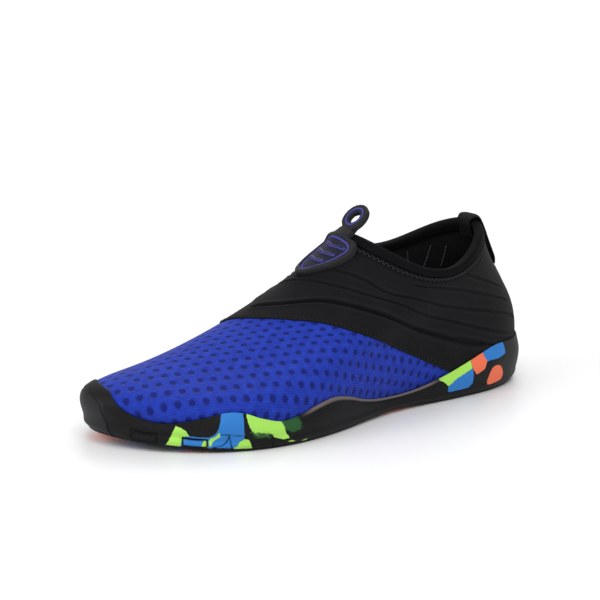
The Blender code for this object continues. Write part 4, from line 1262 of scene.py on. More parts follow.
@dataclass
class CupSole:
    """The cup sole: wavy lip, bulged side with its grooves and colours, and the tread."""

    wall: float = 2.2 * MM
    flare: float = 2.8 * MM
    bulge: float = 2.0 * MM
    edge_round: float = 1.4 * MM
    lip_crest: float = 0.5 * MM
    thin_lip: float = 0.9 * MM
    taper: float = 0.4
    softening: int = 10
    toe_softening: int = 45
    toe_fullness: float = 1.6 * MM
    columns: int = 1400
    side_rows: int = 40
    crest_rows: int = 7
    across: int = 40
    wall_part: float = 0.6
    lip_bulge: float = 0.3
    foot_bulge: float = 0.4
    toe_middle: float = 1.04
    toe_reach: float = 0.16
    toe_fade: float = 0.05
    far: float = 5 * MM
    toe_window: tuple[float, ...] = (0.955, 1.15, 0.004, 0.01)
    # Paler toe cap, a painted highlight, and paler heel.
    toe_highlight: float = 0.8
    toe_highlight_start: float = 0.16
    toe_highlight_fade: float = 0.06
    heel_end: float = 0.26
    heel_paleness: float = 0.5
    rim_window: tuple[float, float] = (0.35, 0.63)
    rim_fade: float = 0.03
    groove_width: float = 0.60 * MM
    groove_depth: float = 0.90 * MM
    finer: float = 0.17 * MM
    toe_cap_line: tuple[Place, ...] = corners(
        (1.155, 1.02), (1.150, 0.55), (1.136, 0.32), (1.105, 0.20), (1.070, 0.16), (1.024, 0.16),
        (0.986, 0.21), (0.964, 0.32), (0.957, 0.55), (0.947, 1.02))
    lugs: tuple[tuple[float, float, float], ...] = (
        (0.855, 0.902, 0.63), (0.774, 0.812, 0.59), (1.188, 1.226, 0.59), (1.098, 1.145, 0.63))
    scores: tuple[tuple[Place, ...], ...] = (
        corners((0.753, 0.43), (0.735, 0.45), (0.717, 0.48)),
        corners((0.740, 0.46), (0.739, 0.75), (0.737, 1.0)),
        corners((0.740, 0.48), (0.745, 0.62), (0.753, 0.84), (0.764, 0.96)),
        corners((0.677, 0.45), (0.677, 0.66), (0.676, 0.96)),
        corners((1.260, 0.46), (1.261, 0.75), (1.263, 1.0)),
        corners((1.323, 0.45), (1.323, 0.66), (1.324, 0.96)),
    )
    patches: tuple[Patch, ...] = (
        Patch("lime", corners((0.820, 0.06), (0.812, 0.10), (0.804, 0.25), (0.799, 0.46),
            (0.808, 0.50), (0.813, 0.75), (0.816, 1.02), (0.842, 1.02), (0.838, 0.96),
            (0.833, 0.72), (0.827, 0.36))),
        Patch("sky", corners((0.808, 0.31), (0.800, 0.45), (0.785, 0.48), (0.770, 0.48),
            (0.760, 0.39), (0.754, 0.27), (0.751, 0.11), (0.751, -0.1), (0.719, -0.1),
            (0.717, 0.10), (0.718, 0.50), (0.724, 0.58), (0.730, 0.80), (0.733, 1.02),
            (0.820, 1.02), (0.818, 0.70), (0.814, 0.44))),
        Patch("lime", corners((0.753, 0.36), (0.753, 0.46), (0.765, 0.61), (0.768, 0.80),
            (0.770, 0.92), (0.772, 0.62), (0.768, 0.50), (0.761, 0.46))),
        Patch("lime", corners((0.779, 0.60), (0.774, 0.60), (0.772, 1.02), (0.788, 1.02),
            (0.783, 0.92))),
        Patch("lime", corners((0.719, 0.53), (0.713, 0.55), (0.707, 1.02), (0.731, 1.02),
            (0.736, 0.96), (0.730, 0.78), (0.725, 0.58))),
        Patch("lime", corners((0.714, -0.1), (0.690, -0.1), (0.662, -0.1), (0.649, -0.1),
            (0.652, 0.08), (0.656, 0.22), (0.656, 0.45), (0.651, 0.72), (0.662, 0.72),
            (0.675, 0.55), (0.678, 0.42), (0.681, 0.40), (0.688, 0.50), (0.697, 0.48),
            (0.705, 0.38), (0.710, 0.20))),
        Patch("moss", corners((0.706, 0.36), (0.697, 0.38), (0.688, 0.36), (0.676, 0.48),
            (0.684, 0.52), (0.698, 0.52), (0.706, 0.46))),
        Patch("moss", corners((0.657, -0.1), (0.640, -0.1), (0.632, -0.1), (0.629, 0.06),
            (0.630, 0.30), (0.634, 0.46), (0.645, 0.47), (0.656, 0.30))),
        Patch("lime", corners((0.660, 0.78), (0.648, 0.91), (0.640, 0.92), (0.648, 0.84))),
        Patch("lime", corners((0.630, 0.95), (0.621, 0.93), (0.622, 1.0), (0.630, 1.0))),
        Patch("lime", corners((0.364, -0.1), (0.302, -0.1), (0.299, 0.16), (0.328, 0.21),
            (0.345, 0.40), (0.350, 0.23), (0.358, 0.06))),
        Patch("sky", corners((0.299, 0.16), (0.328, 0.21), (0.345, 0.40), (0.343, 0.66),
            (0.302, 0.64), (0.294, 0.53), (0.296, 0.30))),
        Patch("orange", corners((0.302, -0.1), (0.278, -0.1), (0.267, 0.17), (0.272, 0.30),
            (0.289, 0.34), (0.298, 0.18))),
        Patch("sky", corners((0.278, -0.1), (0.252, -0.1), (0.222, -0.1), (0.214, 0.04),
            (0.213, 0.17), (0.237, 0.21), (0.267, 0.18))),
        Patch("orange", corners((0.254, 0.38), (0.243, 0.32), (0.226, 0.36), (0.211, 0.53),
            (0.218, 0.68), (0.255, 0.72)), True),
    )
    tread_bars: tuple[float, ...] = (0.045, 0.205, 0.250, 0.560, 0.605, 0.735, 0.780, 0.825,
                                     0.870, 0.915)
    tread_width: float = 2.4 * MM
    tread_depth: float = 1.2 * MM
    tread_bow: float = 0.035
    tread_reach: float = 0.80
    tread_fade: float = 0.05
    tread_wall: float = 0.9 * MM

    def side_points(self, angles: Array, shares: Array) -> Array:
        """Points on the sole's side, before its grooves.

        Args:
            angles: One angle for each column.
            shares: One share for each row, from 0 at the lip to 1 at the tread's edge.

        Returns:
            A row of points for each share.
        """
        inner = LAST.cup_offset(angles) + self.wall
        rise = LAST.lip_rises(angles) / LAST.cup_height
        lip = LAST.lip_shares(angles)
        swell = self.bulge * np.clip(rise + self.lip_bulge, 0.0, 1.0)
        down = np.clip(shares / self.wall_part, 0.0, 1.0)
        thinned = (self.wall - self.thin_lip) * (1.0 - smooth_step(down / self.taper))
        offsets = (inner[None] - thinned[:, None]
                   + np.sin(down * math.pi / 2)[:, None] * swell[None])
        wall = LAST.offset(angles, lip[None] * (1.0 - down[:, None]), offsets)
        start = wall[-1]
        edge = LAST.feather(angles, self.flare, 0.0)
        edge[:, 2] = LAST.tread(edge[:, 0], np.sin(angles)) + self.edge_round
        below = np.clip((shares - self.wall_part) / (1.0 - self.wall_part), 0.0, 1.0)
        below = below[:, None, None]
        from_toe = np.abs(angles / math.pi - self.toe_middle)
        near_toe = smooth_step((self.toe_reach - from_toe) / self.toe_fade)
        fullness = self.bulge * self.foot_bulge + self.toe_fullness * near_toe
        middle = (start + edge) / 2 + LAST.outward(angles) * fullness[:, None]
        control = 2 * middle - (start + edge) / 2
        foot = (1 - below) ** 2 * start + 2 * below * (1 - below) * control + below ** 2 * edge
        side = np.where((shares > self.wall_part)[:, None, None], foot, wall)
        near_toe = near_toe[None, :, None]
        return (self.softened(side, self.softening) * (1 - near_toe)
                + self.softened(side, self.toe_softening) * near_toe)

    @staticmethod
    def softened(rows: Array, passes: int) -> Array:
        """Rows of points with the kinks between them rounded off, by a number of passes."""
        rows = rows.copy()
        for _ in range(passes):
            rows[1:-1] = (rows[:-2] + 2 * rows[1:-1] + rows[2:]) / 4
        return rows

    def lay_out(self, angles: Array, shares: Array, rows: Array) -> tuple[Array, Callable]:
        """Measure the side in lengths along and down it.

        Args:
            angles: Angles of the columns.
            shares: Shares of the rows.
            rows: The side's points.

        Returns:
            The two lengths of each point, and a function that measures places the same way.
        """
        turns = angles / math.pi
        middle = rows[len(rows) // 2]
        around = np.append(run_lengths(middle), 0.0)[:-1]
        depths = run_lengths(rows)
        flat = np.stack([np.broadcast_to(around, depths.shape), depths], axis=-1)

        def measure(line: Sequence[Place]) -> Array:
            """Lengths along and down the side at places on it."""
            found = []
            for turn, share in line:
                along = np.interp(turn, turns, around)
                total = np.interp(turn, turns, depths[-1])
                shape = depths[:, np.abs(turns - turn).argmin()]
                down = np.interp(share, shares, shape / max(shape[-1], 1e-9)) * total
                down += max(share - 1.0, 0.0) * total + min(share, 0.0) * total
                found.append((along, down))
            return np.array(found)

        return flat, measure

    def mirrored(self) -> list[Patch]:
        """The patches and their mirror on the inner side."""
        inner = [Patch(ink, tuple(Place(2.0 - turn, share) for turn, share in places), rounded)
                 for ink, places, rounded in self.patches]
        return list(self.patches) + inner

    def groove_distance(self, flat: Array, measure: Callable) -> Array:
        """Distance from each point of the side to the nearest groove."""
        lines = [smooth_path(measure(self.toe_cap_line), 8)]
        fine = [line_distance(flat, smooth_path(measure(line), 6)) for line in self.scores]
        for start, end, top in self.lugs:
            lines.append(measure(corners((start, 0.97), (start, top), (end, top), (end, 0.97),
                                         (start, 0.97))))
        wide = [line_distance(flat, line) for line in lines]
        return np.minimum(np.min(wide, axis=0), np.min(fine, axis=0) + self.finer)

    def tread_points(self, edge: Array) -> Array:
        """The tread inside the underside's edge ring, in rows from the outer side inwards."""
        points, shares = span_rows(edge, self.across)
        side = np.broadcast_to(1.0 - 2.0 * shares, points.shape[:2])
        points[..., 2] = LAST.tread(points[..., 0], side)
        pressed = np.zeros(side.shape)
        for bar in self.tread_bars:
            bow = self.tread_bow * LAST.length * 0.5 * (1 - (side / self.tread_reach) ** 2)
            gap = np.abs(points[..., 0] - bar * LAST.length - bow) - self.tread_width / 2
            ends = smooth_step((self.tread_reach - np.abs(side)) / self.tread_fade)
            pressed = np.maximum(pressed, (1 - soft_edge(gap, self.tread_wall)) * ends)
        points[..., 2] += pressed * self.tread_depth
        return points

    def build(self) -> Piece:
        """Build the cup sole."""
        angles = full_turn(self.columns)
        shares = np.linspace(0.0, 1.0, self.side_rows)
        side = self.side_points(angles, shares)
        flat, measure = self.lay_out(angles, shares, side)
        grooves = self.groove_distance(flat, measure)
        depth = self.groove_depth * np.exp(-(grooves / self.groove_width) ** 4)
        turned = np.roll(side, -1, axis=1) - np.roll(side, 1, axis=1)
        normals = unit(np.cross(turned, np.gradient(side, axis=0)))
        outward = LAST.outward(angles)[None]
        normals = normals * np.sign((normals * outward).sum(axis=-1, keepdims=True))
        side = side - normals * depth[..., None]
        crest = self.crest(angles)
        rim = []
        for angle in np.linspace(0.0, math.pi / 2, 4)[1:]:
            ring = LAST.feather(angles, self.flare - self.edge_round * (1 - math.cos(angle)), 0.0)
            ring[:, 2] = (LAST.tread(ring[:, 0], np.sin(angles))
                          + self.edge_round * (1 - math.sin(angle)))
            rim.append(ring)
        rows = np.concatenate([crest, side, np.array(rim)])
        points = rows.reshape(-1, 3)
        faces = band_quads(len(rows), self.columns).tolist()
        under = self.tread_points(rim[-1])
        faces += spanning_faces((len(rows) - 1) * self.columns, self.columns, len(points),
                                under.shape[:2])
        # The distance to the grooves, which the finish reads for their painted shade.
        marks = (*self.marks(flat, measure), Mark("groove", grooves, self.far, self.far))
        notes = {mark.name: np.concatenate([
            np.repeat(mark.side[:1], len(crest), axis=0).ravel(), mark.side.ravel(),
            np.full(len(rim) * self.columns, mark.rim), np.full(under.size // 3, mark.tread)])
            for mark in marks}
        return dress("cup_sole", np.concatenate([points, under.reshape(-1, 3)]), faces,
                     SoleRubber(), ("outsole", "sole_rubber"), **notes)

    def crest(self, angles: Array) -> Array:
        """Rows over the lip, from inside the cup to its outer side."""
        lip = LAST.lip_shares(angles)[None]
        inner = LAST.cup_offset(angles)[None]
        inside = LAST.offset(angles, np.vstack([lip * 0.3, lip * 0.8]), np.vstack([inner, inner]))
        up = unit(LAST.points(angles, lip + 0.01) - LAST.points(angles, lip))[0]
        rows = []
        for angle in np.linspace(0.0, math.pi, self.crest_rows)[:-1]:
            ring = LAST.offset(angles, lip, inner + self.thin_lip * (1 - math.cos(angle)) / 2)
            rows.append(ring[0] + up * self.lip_crest * math.sin(angle))
        return np.concatenate([inside, np.array(rows)])

    def marks(self, flat: Array, measure: Callable) -> list[Mark]:
        """What the sole's finish reads, but for its grooves.

        Args:
            flat: Lengths along and down the side, for each of its points.
            measure: Measures places on the side.

        Returns:
            How far the points lie inside the patches of each colour, and then three weights:
            for the paler toe and heel, the toe's being a painted highlight, for the marbled tread
            and for the pale edge of the lip.
        """
        found = []
        for name in ("lime", "sky", "orange", "moss"):
            reach = np.full(flat.shape[:2], -self.far)
            for patch in self.mirrored():
                if patch.ink == name:
                    outline = smooth_path(measure(patch.corners), 4 if patch.rounded else 1,
                                          closed=True)
                    reach = np.maximum(reach, inside_distance(flat, outline))
            found.append(Mark(name, reach, -self.far, -self.far))
        turns = np.linspace(0.0, 2.0, self.columns, endpoint=False)
        shares = np.linspace(0.0, 1.0, self.side_rows)[:, None]
        # The toe cap below the lip is made paler as a painted highlight; the heel is made paler
        # too.
        low = smooth_step((shares - self.toe_highlight_start) / self.toe_highlight_fade)
        toe = window(turns, *self.toe_window) * low
        heel = smooth_step((self.heel_end - from_heel(turns)) / self.rim_fade)
        lit_toe_pale_heel = np.maximum(toe * self.toe_highlight, heel * self.heel_paleness)
        edge = np.zeros(lit_toe_pale_heel.shape)
        edge[:3] = np.outer((1.0, 1.0, 0.5),
                            window(from_heel(turns), *self.rim_window, self.rim_fade))
        return found + [Mark("lit_toe_pale_heel", lit_toe_pale_heel, 0.0, 0.0),
                        Mark("under", np.zeros(lit_toe_pale_heel.shape), 0.0, 1.0),
                        Mark("rim", edge, 0.0, 0.0)]


@dataclass
class Insole:
    """The insole that lies on the footbed inside the upper."""

    thickness: float = 3.0 * MM
    crown: float = 0.6 * MM
    dish: float = 0.5 * MM
    columns: int = 360
    across: int = 28

    def build(self) -> Piece:
        """Build the insole."""
        angles = full_turn(self.columns)
        inset = -(LAST.wall + LAST.fit_gap)
        rows = [LAST.feather(angles, inset, LAST.fit_gap)]
        high = LAST.fit_gap + self.thickness
        for angle in np.linspace(0.0, math.pi / 2, 5):
            rows.append(LAST.feather(angles, inset - self.crown * (1 - math.cos(angle)),
                                     high - self.crown * (1 - math.sin(angle))))
        rows = np.array(rows)
        top, shares = span_rows(rows[-1], self.across)
        dish = np.sin(np.linspace(0.0, math.pi, len(top)))[:, None] * np.sin(shares * math.pi)
        top[..., 2] = LAST.footbed(top[..., 0]) + high - self.dish * dish
        points = np.concatenate([rows.reshape(-1, 3), top.reshape(-1, 3)])
        faces = band_quads(len(rows), self.columns).tolist()
        faces += spanning_faces((len(rows) - 1) * self.columns, self.columns, rows.size // 3,
                                top.shape[:2])
        finish = FineKnit(name="insole_cloth", dark=Ink.FOAM_BLACK, rib=1.3 * MM,
                          relief=0.12 * MM, roughness=0.85)
        return dress("insole_pad", points, faces, finish, ("insole", "insole_foam"),
                     ridge=np.zeros(len(points)))


@dataclass
class CollarBinding:
    """The soft binding that is rolled over the collar edge."""

    columns: int = 600
    low_corner: float = 0.2 * MM

    def section(self) -> Array:
        """Drops and offsets around the binding's section."""
        outside = LAST.quarter_step + LAST.fit_gap
        inside = -(LAST.wall + LAST.fit_gap)
        crest, leg, thick = LAST.fit_gap + LAST.binding, LAST.binding_leg, LAST.binding
        return smooth_path([
            (-leg, outside), (-leg + self.low_corner, outside + thick * 0.75),
            (-leg * 0.6, outside + thick * 0.9), (-leg * 0.2, outside + thick * 1.15),
            (crest * 0.55, outside + thick * 0.45), (crest, (outside + inside) / 2),
            (crest * 0.55, inside - thick * 0.45), (-leg * 0.2, inside - thick * 1.1),
            (-leg * 0.6, inside - thick * 0.9), (-leg + self.low_corner, inside - thick * 0.75),
            (-leg, inside)], 3)

    def build(self) -> Piece:
        """Build the binding."""
        angles = full_turn(self.columns)
        section = self.section()
        rows = LAST.near_collar(angles, section[:, :1], section[:, 1:])
        finish = FineKnit(name="binding_knit", pale=Ink.LINING_BLACK, rib=0.9 * MM,
                          relief=0.25 * MM, sheen=0.0, gloss=0.06)
        return dress("collar_roll", rows, band_quads(len(rows), self.columns), finish,
                     ("collar_binding", "edge_binding"), ridge=np.zeros(rows.size // 3))


@dataclass
class HeelStrip:
    """Woven strip that lies along the middle of the heel, as a closed ribbon."""

    name: str
    width: float
    thickness: float
    stands_for: tuple[str, str]
    webbing: Webbing
    across: int = 26

    def ribbon(self, path: Array) -> Piece:
        """Build the ribbon along a path of drops and offsets.

        Args:
            path: Rows of a drop from the collar edge and an offset from the last.

        Returns:
            The dressed ribbon.
        """
        along = unit(np.gradient(path, axis=0))
        normal = np.stack([-along[:, 1], along[:, 0]], axis=1)
        around = full_turn(self.across)
        sides = np.sign(np.cos(around)) * np.abs(np.cos(around)) ** 0.35 * self.width / 2
        lifts = np.sign(np.sin(around)) * np.abs(np.sin(around)) ** 0.55 * self.thickness / 2
        length = run_lengths(path)
        rows, cloth = [], []
        for point, out, run in zip(path, normal, length):
            share = LAST.heel_share(max(-float(point[0]), 0.0))
            angles = LAST.heel_angles(sides, share)
            drops = point[0] + out[0] * lifts
            offsets = point[1] + out[1] * lifts
            rows.append(LAST.near_collar(angles, drops[None], offsets[None])[0])
            cloth.append(np.stack([np.full(self.across, run), sides, lifts], axis=-1))
        rows = np.array(rows)
        faces = band_quads(len(rows), self.across).tolist()
        last = (len(rows) - 1) * self.across
        faces += [list(range(self.across)), list(range(last, last + self.across))]
        return dress(self.name, rows, faces, self.webbing, self.stands_for,
                     cloth=np.array(cloth).reshape(-1, 3))


@dataclass
class HeelPull:
    """The pull loop folded over the heel collar and the tape that runs on below it."""

    loop_width: float = 12.2 * MM
    loop_thickness: float = 1.3 * MM
    loop_drop: float = 27.0 * MM
    loop_tuck: float = 7.5 * MM
    loop_stand_off: float = 0.4 * MM
    loop_room: float = 1.4 * MM
    tape_width: float = 11.0 * MM
    tape_thickness: float = 0.8 * MM
    tape_end: float = 0.012
    tape_rows: int = 40

    def loop_path(self) -> Array:
        """Drops and offsets along the middle of the loop."""
        half = self.loop_thickness / 2
        inner = -(LAST.wall + 2 * LAST.fit_gap + LAST.binding + half)
        sewn = LAST.quarter_step + LAST.fit_gap + half
        outer = sewn + LAST.binding + LAST.fit_gap
        fold = LAST.fit_gap + LAST.binding + self.loop_room + half
        wide = outer + self.loop_stand_off
        middle = (inner + outer) / 2
        drop = self.loop_drop
        return smooth_path([
            (-self.loop_tuck, inner), (-self.loop_tuck / 2, inner), (0.0, inner),
            (fold * 0.75, inner * 0.75 + middle * 0.25), (fold, middle),
            (fold * 0.75, outer * 0.75 + middle * 0.25), (0.0, outer), (-drop * 0.2, wide),
            (-drop * 0.45, wide), (-drop * 0.70, wide), (-drop * 0.88, outer), (-drop, sewn)], 8)

    def tape_path(self) -> Array:
        """Drops and offsets along the middle of the tape."""
        start = self.loop_drop + self.loop_thickness
        fine = np.linspace(1.0, 0.1, 181)
        column = LAST.points(np.zeros(1), fine[:, None])[:, 0]
        lowest = LAST.lip_shares(np.zeros(1))[0] + self.tape_end
        end = float(np.interp(-lowest, -fine, run_lengths(column)))
        offset = LAST.quarter_step + LAST.fit_gap + self.tape_thickness / 2
        return np.stack([-np.linspace(start, end, self.tape_rows),
                         np.full(self.tape_rows, offset)], axis=-1)

    def build(self) -> None:
        """Build the loop and the tape."""
        loop = HeelStrip("pull_loop", self.loop_width, self.loop_thickness,
                         ("heel_pull_loop", "webbing"), Webbing())
        loop.ribbon(self.loop_path())
        fabric = Webbing(name="tape_black", rib=0.7 * MM, relief=0.12 * MM)
        tape = HeelStrip("back_seam_tape", self.tape_width, self.tape_thickness,
                         ("heel_tape", "heel_tape_fabric"), fabric)
        tape.ribbon(self.tape_path())


@dataclass
class InstepTab:
    """The moulded tab: shield with a raised border and chevrons, neck and ring."""

    length: float = 32.0 * MM
    width: float = 25.0 * MM
    plate: float = 1.5 * MM
    border: float = 2.6 * MM
    border_width: float = 2.2 * MM
    top: float = 3.5 * MM
    neck_width: float = 10.5 * MM
    neck_length: float = 7.2 * MM
    ring_radius: float = 8.1 * MM
    ring_hole: float = 3.2 * MM
    ring_lean: float = math.radians(45)
    bar_width: float = 1.6 * MM
    line_width: float = 0.8 * MM
    line_inset: float = 0.9 * MM
    line_lift: float = 0.15 * MM
    line_edge: float = 0.4 * MM
    ring_line: float = 1.9 * MM
    ring_field: tuple[float, float] = (1.0 * MM, 0.9 * MM)
    field_edge: float = 0.7 * MM
    bar_lift: float = 0.6 * MM
    bar_edge: float = 0.5 * MM
    bar_rise: float = 0.30
    bar_line: tuple[float, float] = (0.20 * MM, 0.22 * MM)
    shoulder: float = 0.30
    tip_inset: float = 1.4
    guide_columns: int = 84
    over: float = 0.03
    steepest: float = 0.6
    rounding: float = 0.9 * MM
    pitch: float = 0.42 * MM
    bars: tuple[tuple[float, float], ...] = ((0.26, 0.30), (0.44, 0.26), (0.62, 0.19))

    def shield_half(self, inset: float) -> list[tuple[float, float]]:
        """Right half of the shield, from its shoulder down to its tip, drawn in by an inset."""
        half = self.width / 2 - inset
        up, tip = -self.top - inset, -self.top - self.length + inset * self.tip_inset
        shoulder = self.length * self.shoulder
        points = [(up, half * 0.80), (up - self.length * 0.03, half * 0.95),
                  (up - self.length * 0.09, half)]
        for share in (0.0, 0.25, 0.5, 0.72, 0.88):
            fall = -self.top - shoulder + (tip + self.top + shoulder) * share
            points.append((fall, half * (0.97 - 0.80 * share ** 1.7)))
        return points + [(tip, half * 0.06)]

    def outline(self) -> Array:
        """Outline of the whole tab."""
        neck = self.neck_width / 2
        join = math.asin(neck * 0.8 / self.ring_radius)
        angles = np.linspace(0.0, math.pi - join, 26)
        right = [(self.neck_length + self.ring_radius * math.cos(angle),
                  self.ring_radius * math.sin(angle)) for angle in angles]
        curve = [(self.neck_length * 0.15, neck), (-self.top, neck * 1.15)]
        lower = smooth_path([right[-1]] + curve + self.shield_half(0.0), 5)[1:]
        return self.fine(self.both_halves(right + lower.tolist()))

    def shield(self, inset: float) -> Array:
        """Outline of the shield alone, drawn in by an inset."""
        half = smooth_path(self.shield_half(inset), 5)
        return self.both_halves([(-self.top - inset, 0.0)] + half.tolist())

    @staticmethod
    def both_halves(right: list[Sequence[float]]) -> Array:
        """An outline from its right half, which starts on the middle line."""
        return np.array([tuple(point) for point in right]
                        + [(up, -side) for up, side in right[1:][::-1]])

    def fine(self, outline: Array) -> Array:
        """An outline with even steps of about the pitch."""
        closed = np.concatenate([outline, outline[:1]])
        run = run_lengths(closed)
        count = int(round(run[-1] / self.pitch))
        at = np.linspace(0.0, run[-1], count, endpoint=False)
        return np.stack([np.interp(at, run, closed[:, axis]) for axis in range(2)], axis=-1)

    def chevrons(self, flat: Array) -> Array:
        """How far places lie inside the chevron bars."""
        reach = np.full(len(flat), -1.0)
        for place, share in self.bars:
            up = -self.top - self.length * place
            wide = self.width * share
            end = up + wide * self.bar_rise
            line = np.array([(end, wide), (up, 0.0), (end, -wide)])
            reach = np.maximum(reach, self.bar_width / 2 - line_distance(flat, line))
        return reach

    def height(self, flat: Array) -> tuple[Array, Array, Array]:
        """Relief of the tab.

        Args:
            flat: Places on the tab, by climb and side.

        Returns:
            The height of each place over the tab's back, how far it lies inside the dark
            field, and how far inside the inlaid line.
        """
        from_edge = inside_distance(flat, self.outline())
        from_ring = np.hypot(flat[:, 0] - self.neck_length, flat[:, 1])
        from_hole = from_ring - self.ring_hole
        edge = np.minimum(np.maximum(from_edge, 0.0), np.maximum(from_hole, 0.0))
        rounded = 1.0 - np.clip(edge / self.rounding, 0.0, 1.0)
        height = self.border - self.rounding * (1.0 - np.sqrt(np.maximum(1 - rounded ** 2, 0.0)))
        field_reach = inside_distance(flat, self.shield(self.border_width))
        height -= (self.border - self.plate) * soft_edge(field_reach, self.field_edge)
        bars = self.chevrons(flat)
        height += self.bar_lift * soft_edge(bars, self.bar_edge)
        inner = inside_distance(flat, self.shield(self.border_width + self.line_inset))
        line = np.maximum(self.line_width / 2 - np.abs(inner),
                          self.line_width / 2 - np.abs(from_hole - self.ring_line))
        height += self.line_lift * soft_edge(line, self.line_edge)
        middle, reach = self.ring_field
        field_reach = np.maximum(field_reach, reach - np.abs(from_hole - middle))
        middle, reach = self.bar_line
        return height, field_reach, np.maximum(line, reach - np.abs(bars - middle))

    def frame(self) -> tuple[Vector, Vector, Vector, Vector]:
        """Corner, up, across and normal vectors of the instep under the tab."""
        column = LAST.points(np.array([math.pi]), np.array([[0.82], [1.0]]))[:, 0]
        up = Vector(column[1] - column[0]).normalized()
        normal = up.cross(Vector((0.0, -1.0, 0.0))).normalized()
        if normal.z < 0:
            normal.negate()
        across = normal.cross(up).normalized()
        if across.y < 0:
            across.negate()
        return Vector(column[1]), up, across, normal

    def instep_tree(self) -> BVHTree:
        """The quarter's face near the instep, to lay the tab on."""
        angles = full_turn(self.guide_columns)
        seam = LAST.seam_shares(angles)
        steps = np.append(np.linspace(0.0, 1.0, 8), 0.0)[:, None]
        shares = seam[None] * (1 - steps) + steps
        shares[-1] = 1.02
        rows = LAST.offset(angles, shares, LAST.quarter_step)
        return BVHTree.FromPolygons(rows.reshape(-1, 3).tolist(),
                                    band_quads(len(rows), self.guide_columns).tolist())

    def lay(self, flat: Array, heights: Array) -> Array:
        """Points of the tab from places on it and heights over its back."""
        corner, up, across, normal = self.frame()
        tree = self.instep_tree()
        over = normal * self.over
        lean = self.ring_lean - math.asin(up.z)
        rise = up * math.cos(lean) + normal * math.sin(lean)
        points = []
        for (climb, side), height in zip(flat.tolist(), heights.tolist()):
            near_binding = float(smooth_step(climb / LAST.binding_leg + 2.0))
            clearance = LAST.fit_gap + (LAST.binding + 2 * LAST.fit_gap) * near_binding
            start = corner + up * min(climb, 0.0) + across * side + over
            hit, slope = tree.ray_cast(start, -normal)[:2]
            clearance /= max(abs(slope.dot(normal)), self.steepest)
            if climb > 0.0:
                flat_hit = tree.ray_cast(corner + over, -normal)[0] + across * side
                hit = hit.lerp(flat_hit, float(smooth_step(climb / self.neck_length * 2.5)))
                hit = hit + rise * climb
            points.append(hit + normal * (clearance + height))
        return np.array(points)

    def build(self) -> Piece:
        """Build the tab."""
        outline = self.outline()
        count = int(round(2 * math.pi * self.ring_hole / self.pitch))
        angles = full_turn(count)
        hole = np.stack([self.neck_length + self.ring_hole * np.cos(angles),
                         self.ring_hole * np.sin(angles)], axis=-1)
        low, high = outline.min(axis=0), outline.max(axis=0)
        sides = np.arange(low[1], high[1], self.pitch)
        rows = [np.stack([np.full(len(sides), climb), sides + self.pitch / 2 * (index % 2)],
                         axis=-1)
                for index, climb in enumerate(np.arange(low[0], high[0], self.pitch))]
        grid = np.concatenate(rows)
        room = self.pitch * 0.6
        grid = grid[(inside_distance(grid, outline) > room)
                    & (inside_distance(grid, hole) < -room)]
        coords = [Vector(point) for part in (outline, hole, grid) for point in part.tolist()]
        edges = [(first + index, first + (index + 1) % size)
                 for first, size in ((0, len(outline)), (len(outline), count))
                 for index in range(size)]
        flat, _, triangles = delaunay_2d_cdt(coords, edges, [], 0, 1e-9)[:3]
        flat = np.array([tuple(point) for point in flat])
        triangles = np.array([tuple(face) for face in triangles])
        middles = flat[triangles].mean(axis=1)
        kept = (inside_distance(middles, outline) > 0) & (inside_distance(middles, hole) < 0)
        triangles = triangles[kept]
        heights, field_reach, line = self.height(flat)
        front, back = self.lay(flat, heights), self.lay(flat, np.zeros(len(flat)))
        faces = triangles.tolist() + (triangles[:, ::-1] + len(flat)).tolist()
        directed = {(a, b) for face in triangles.tolist()
                    for a, b in zip(face, face[1:] + face[:1])}
        faces += [[b, a, a + len(flat), b + len(flat)] for a, b in directed
                  if (b, a) not in directed]
        tab = dress("tab_shield", np.concatenate([front, back]), faces, TabRubber(),
                    ("instep_tab", "tab_rubber"), field=np.tile(field_reach, 2),
                    line=np.tile(line, 2))
        tab.data.set_sharp_from_angle(angle=math.radians(50))
        return tab


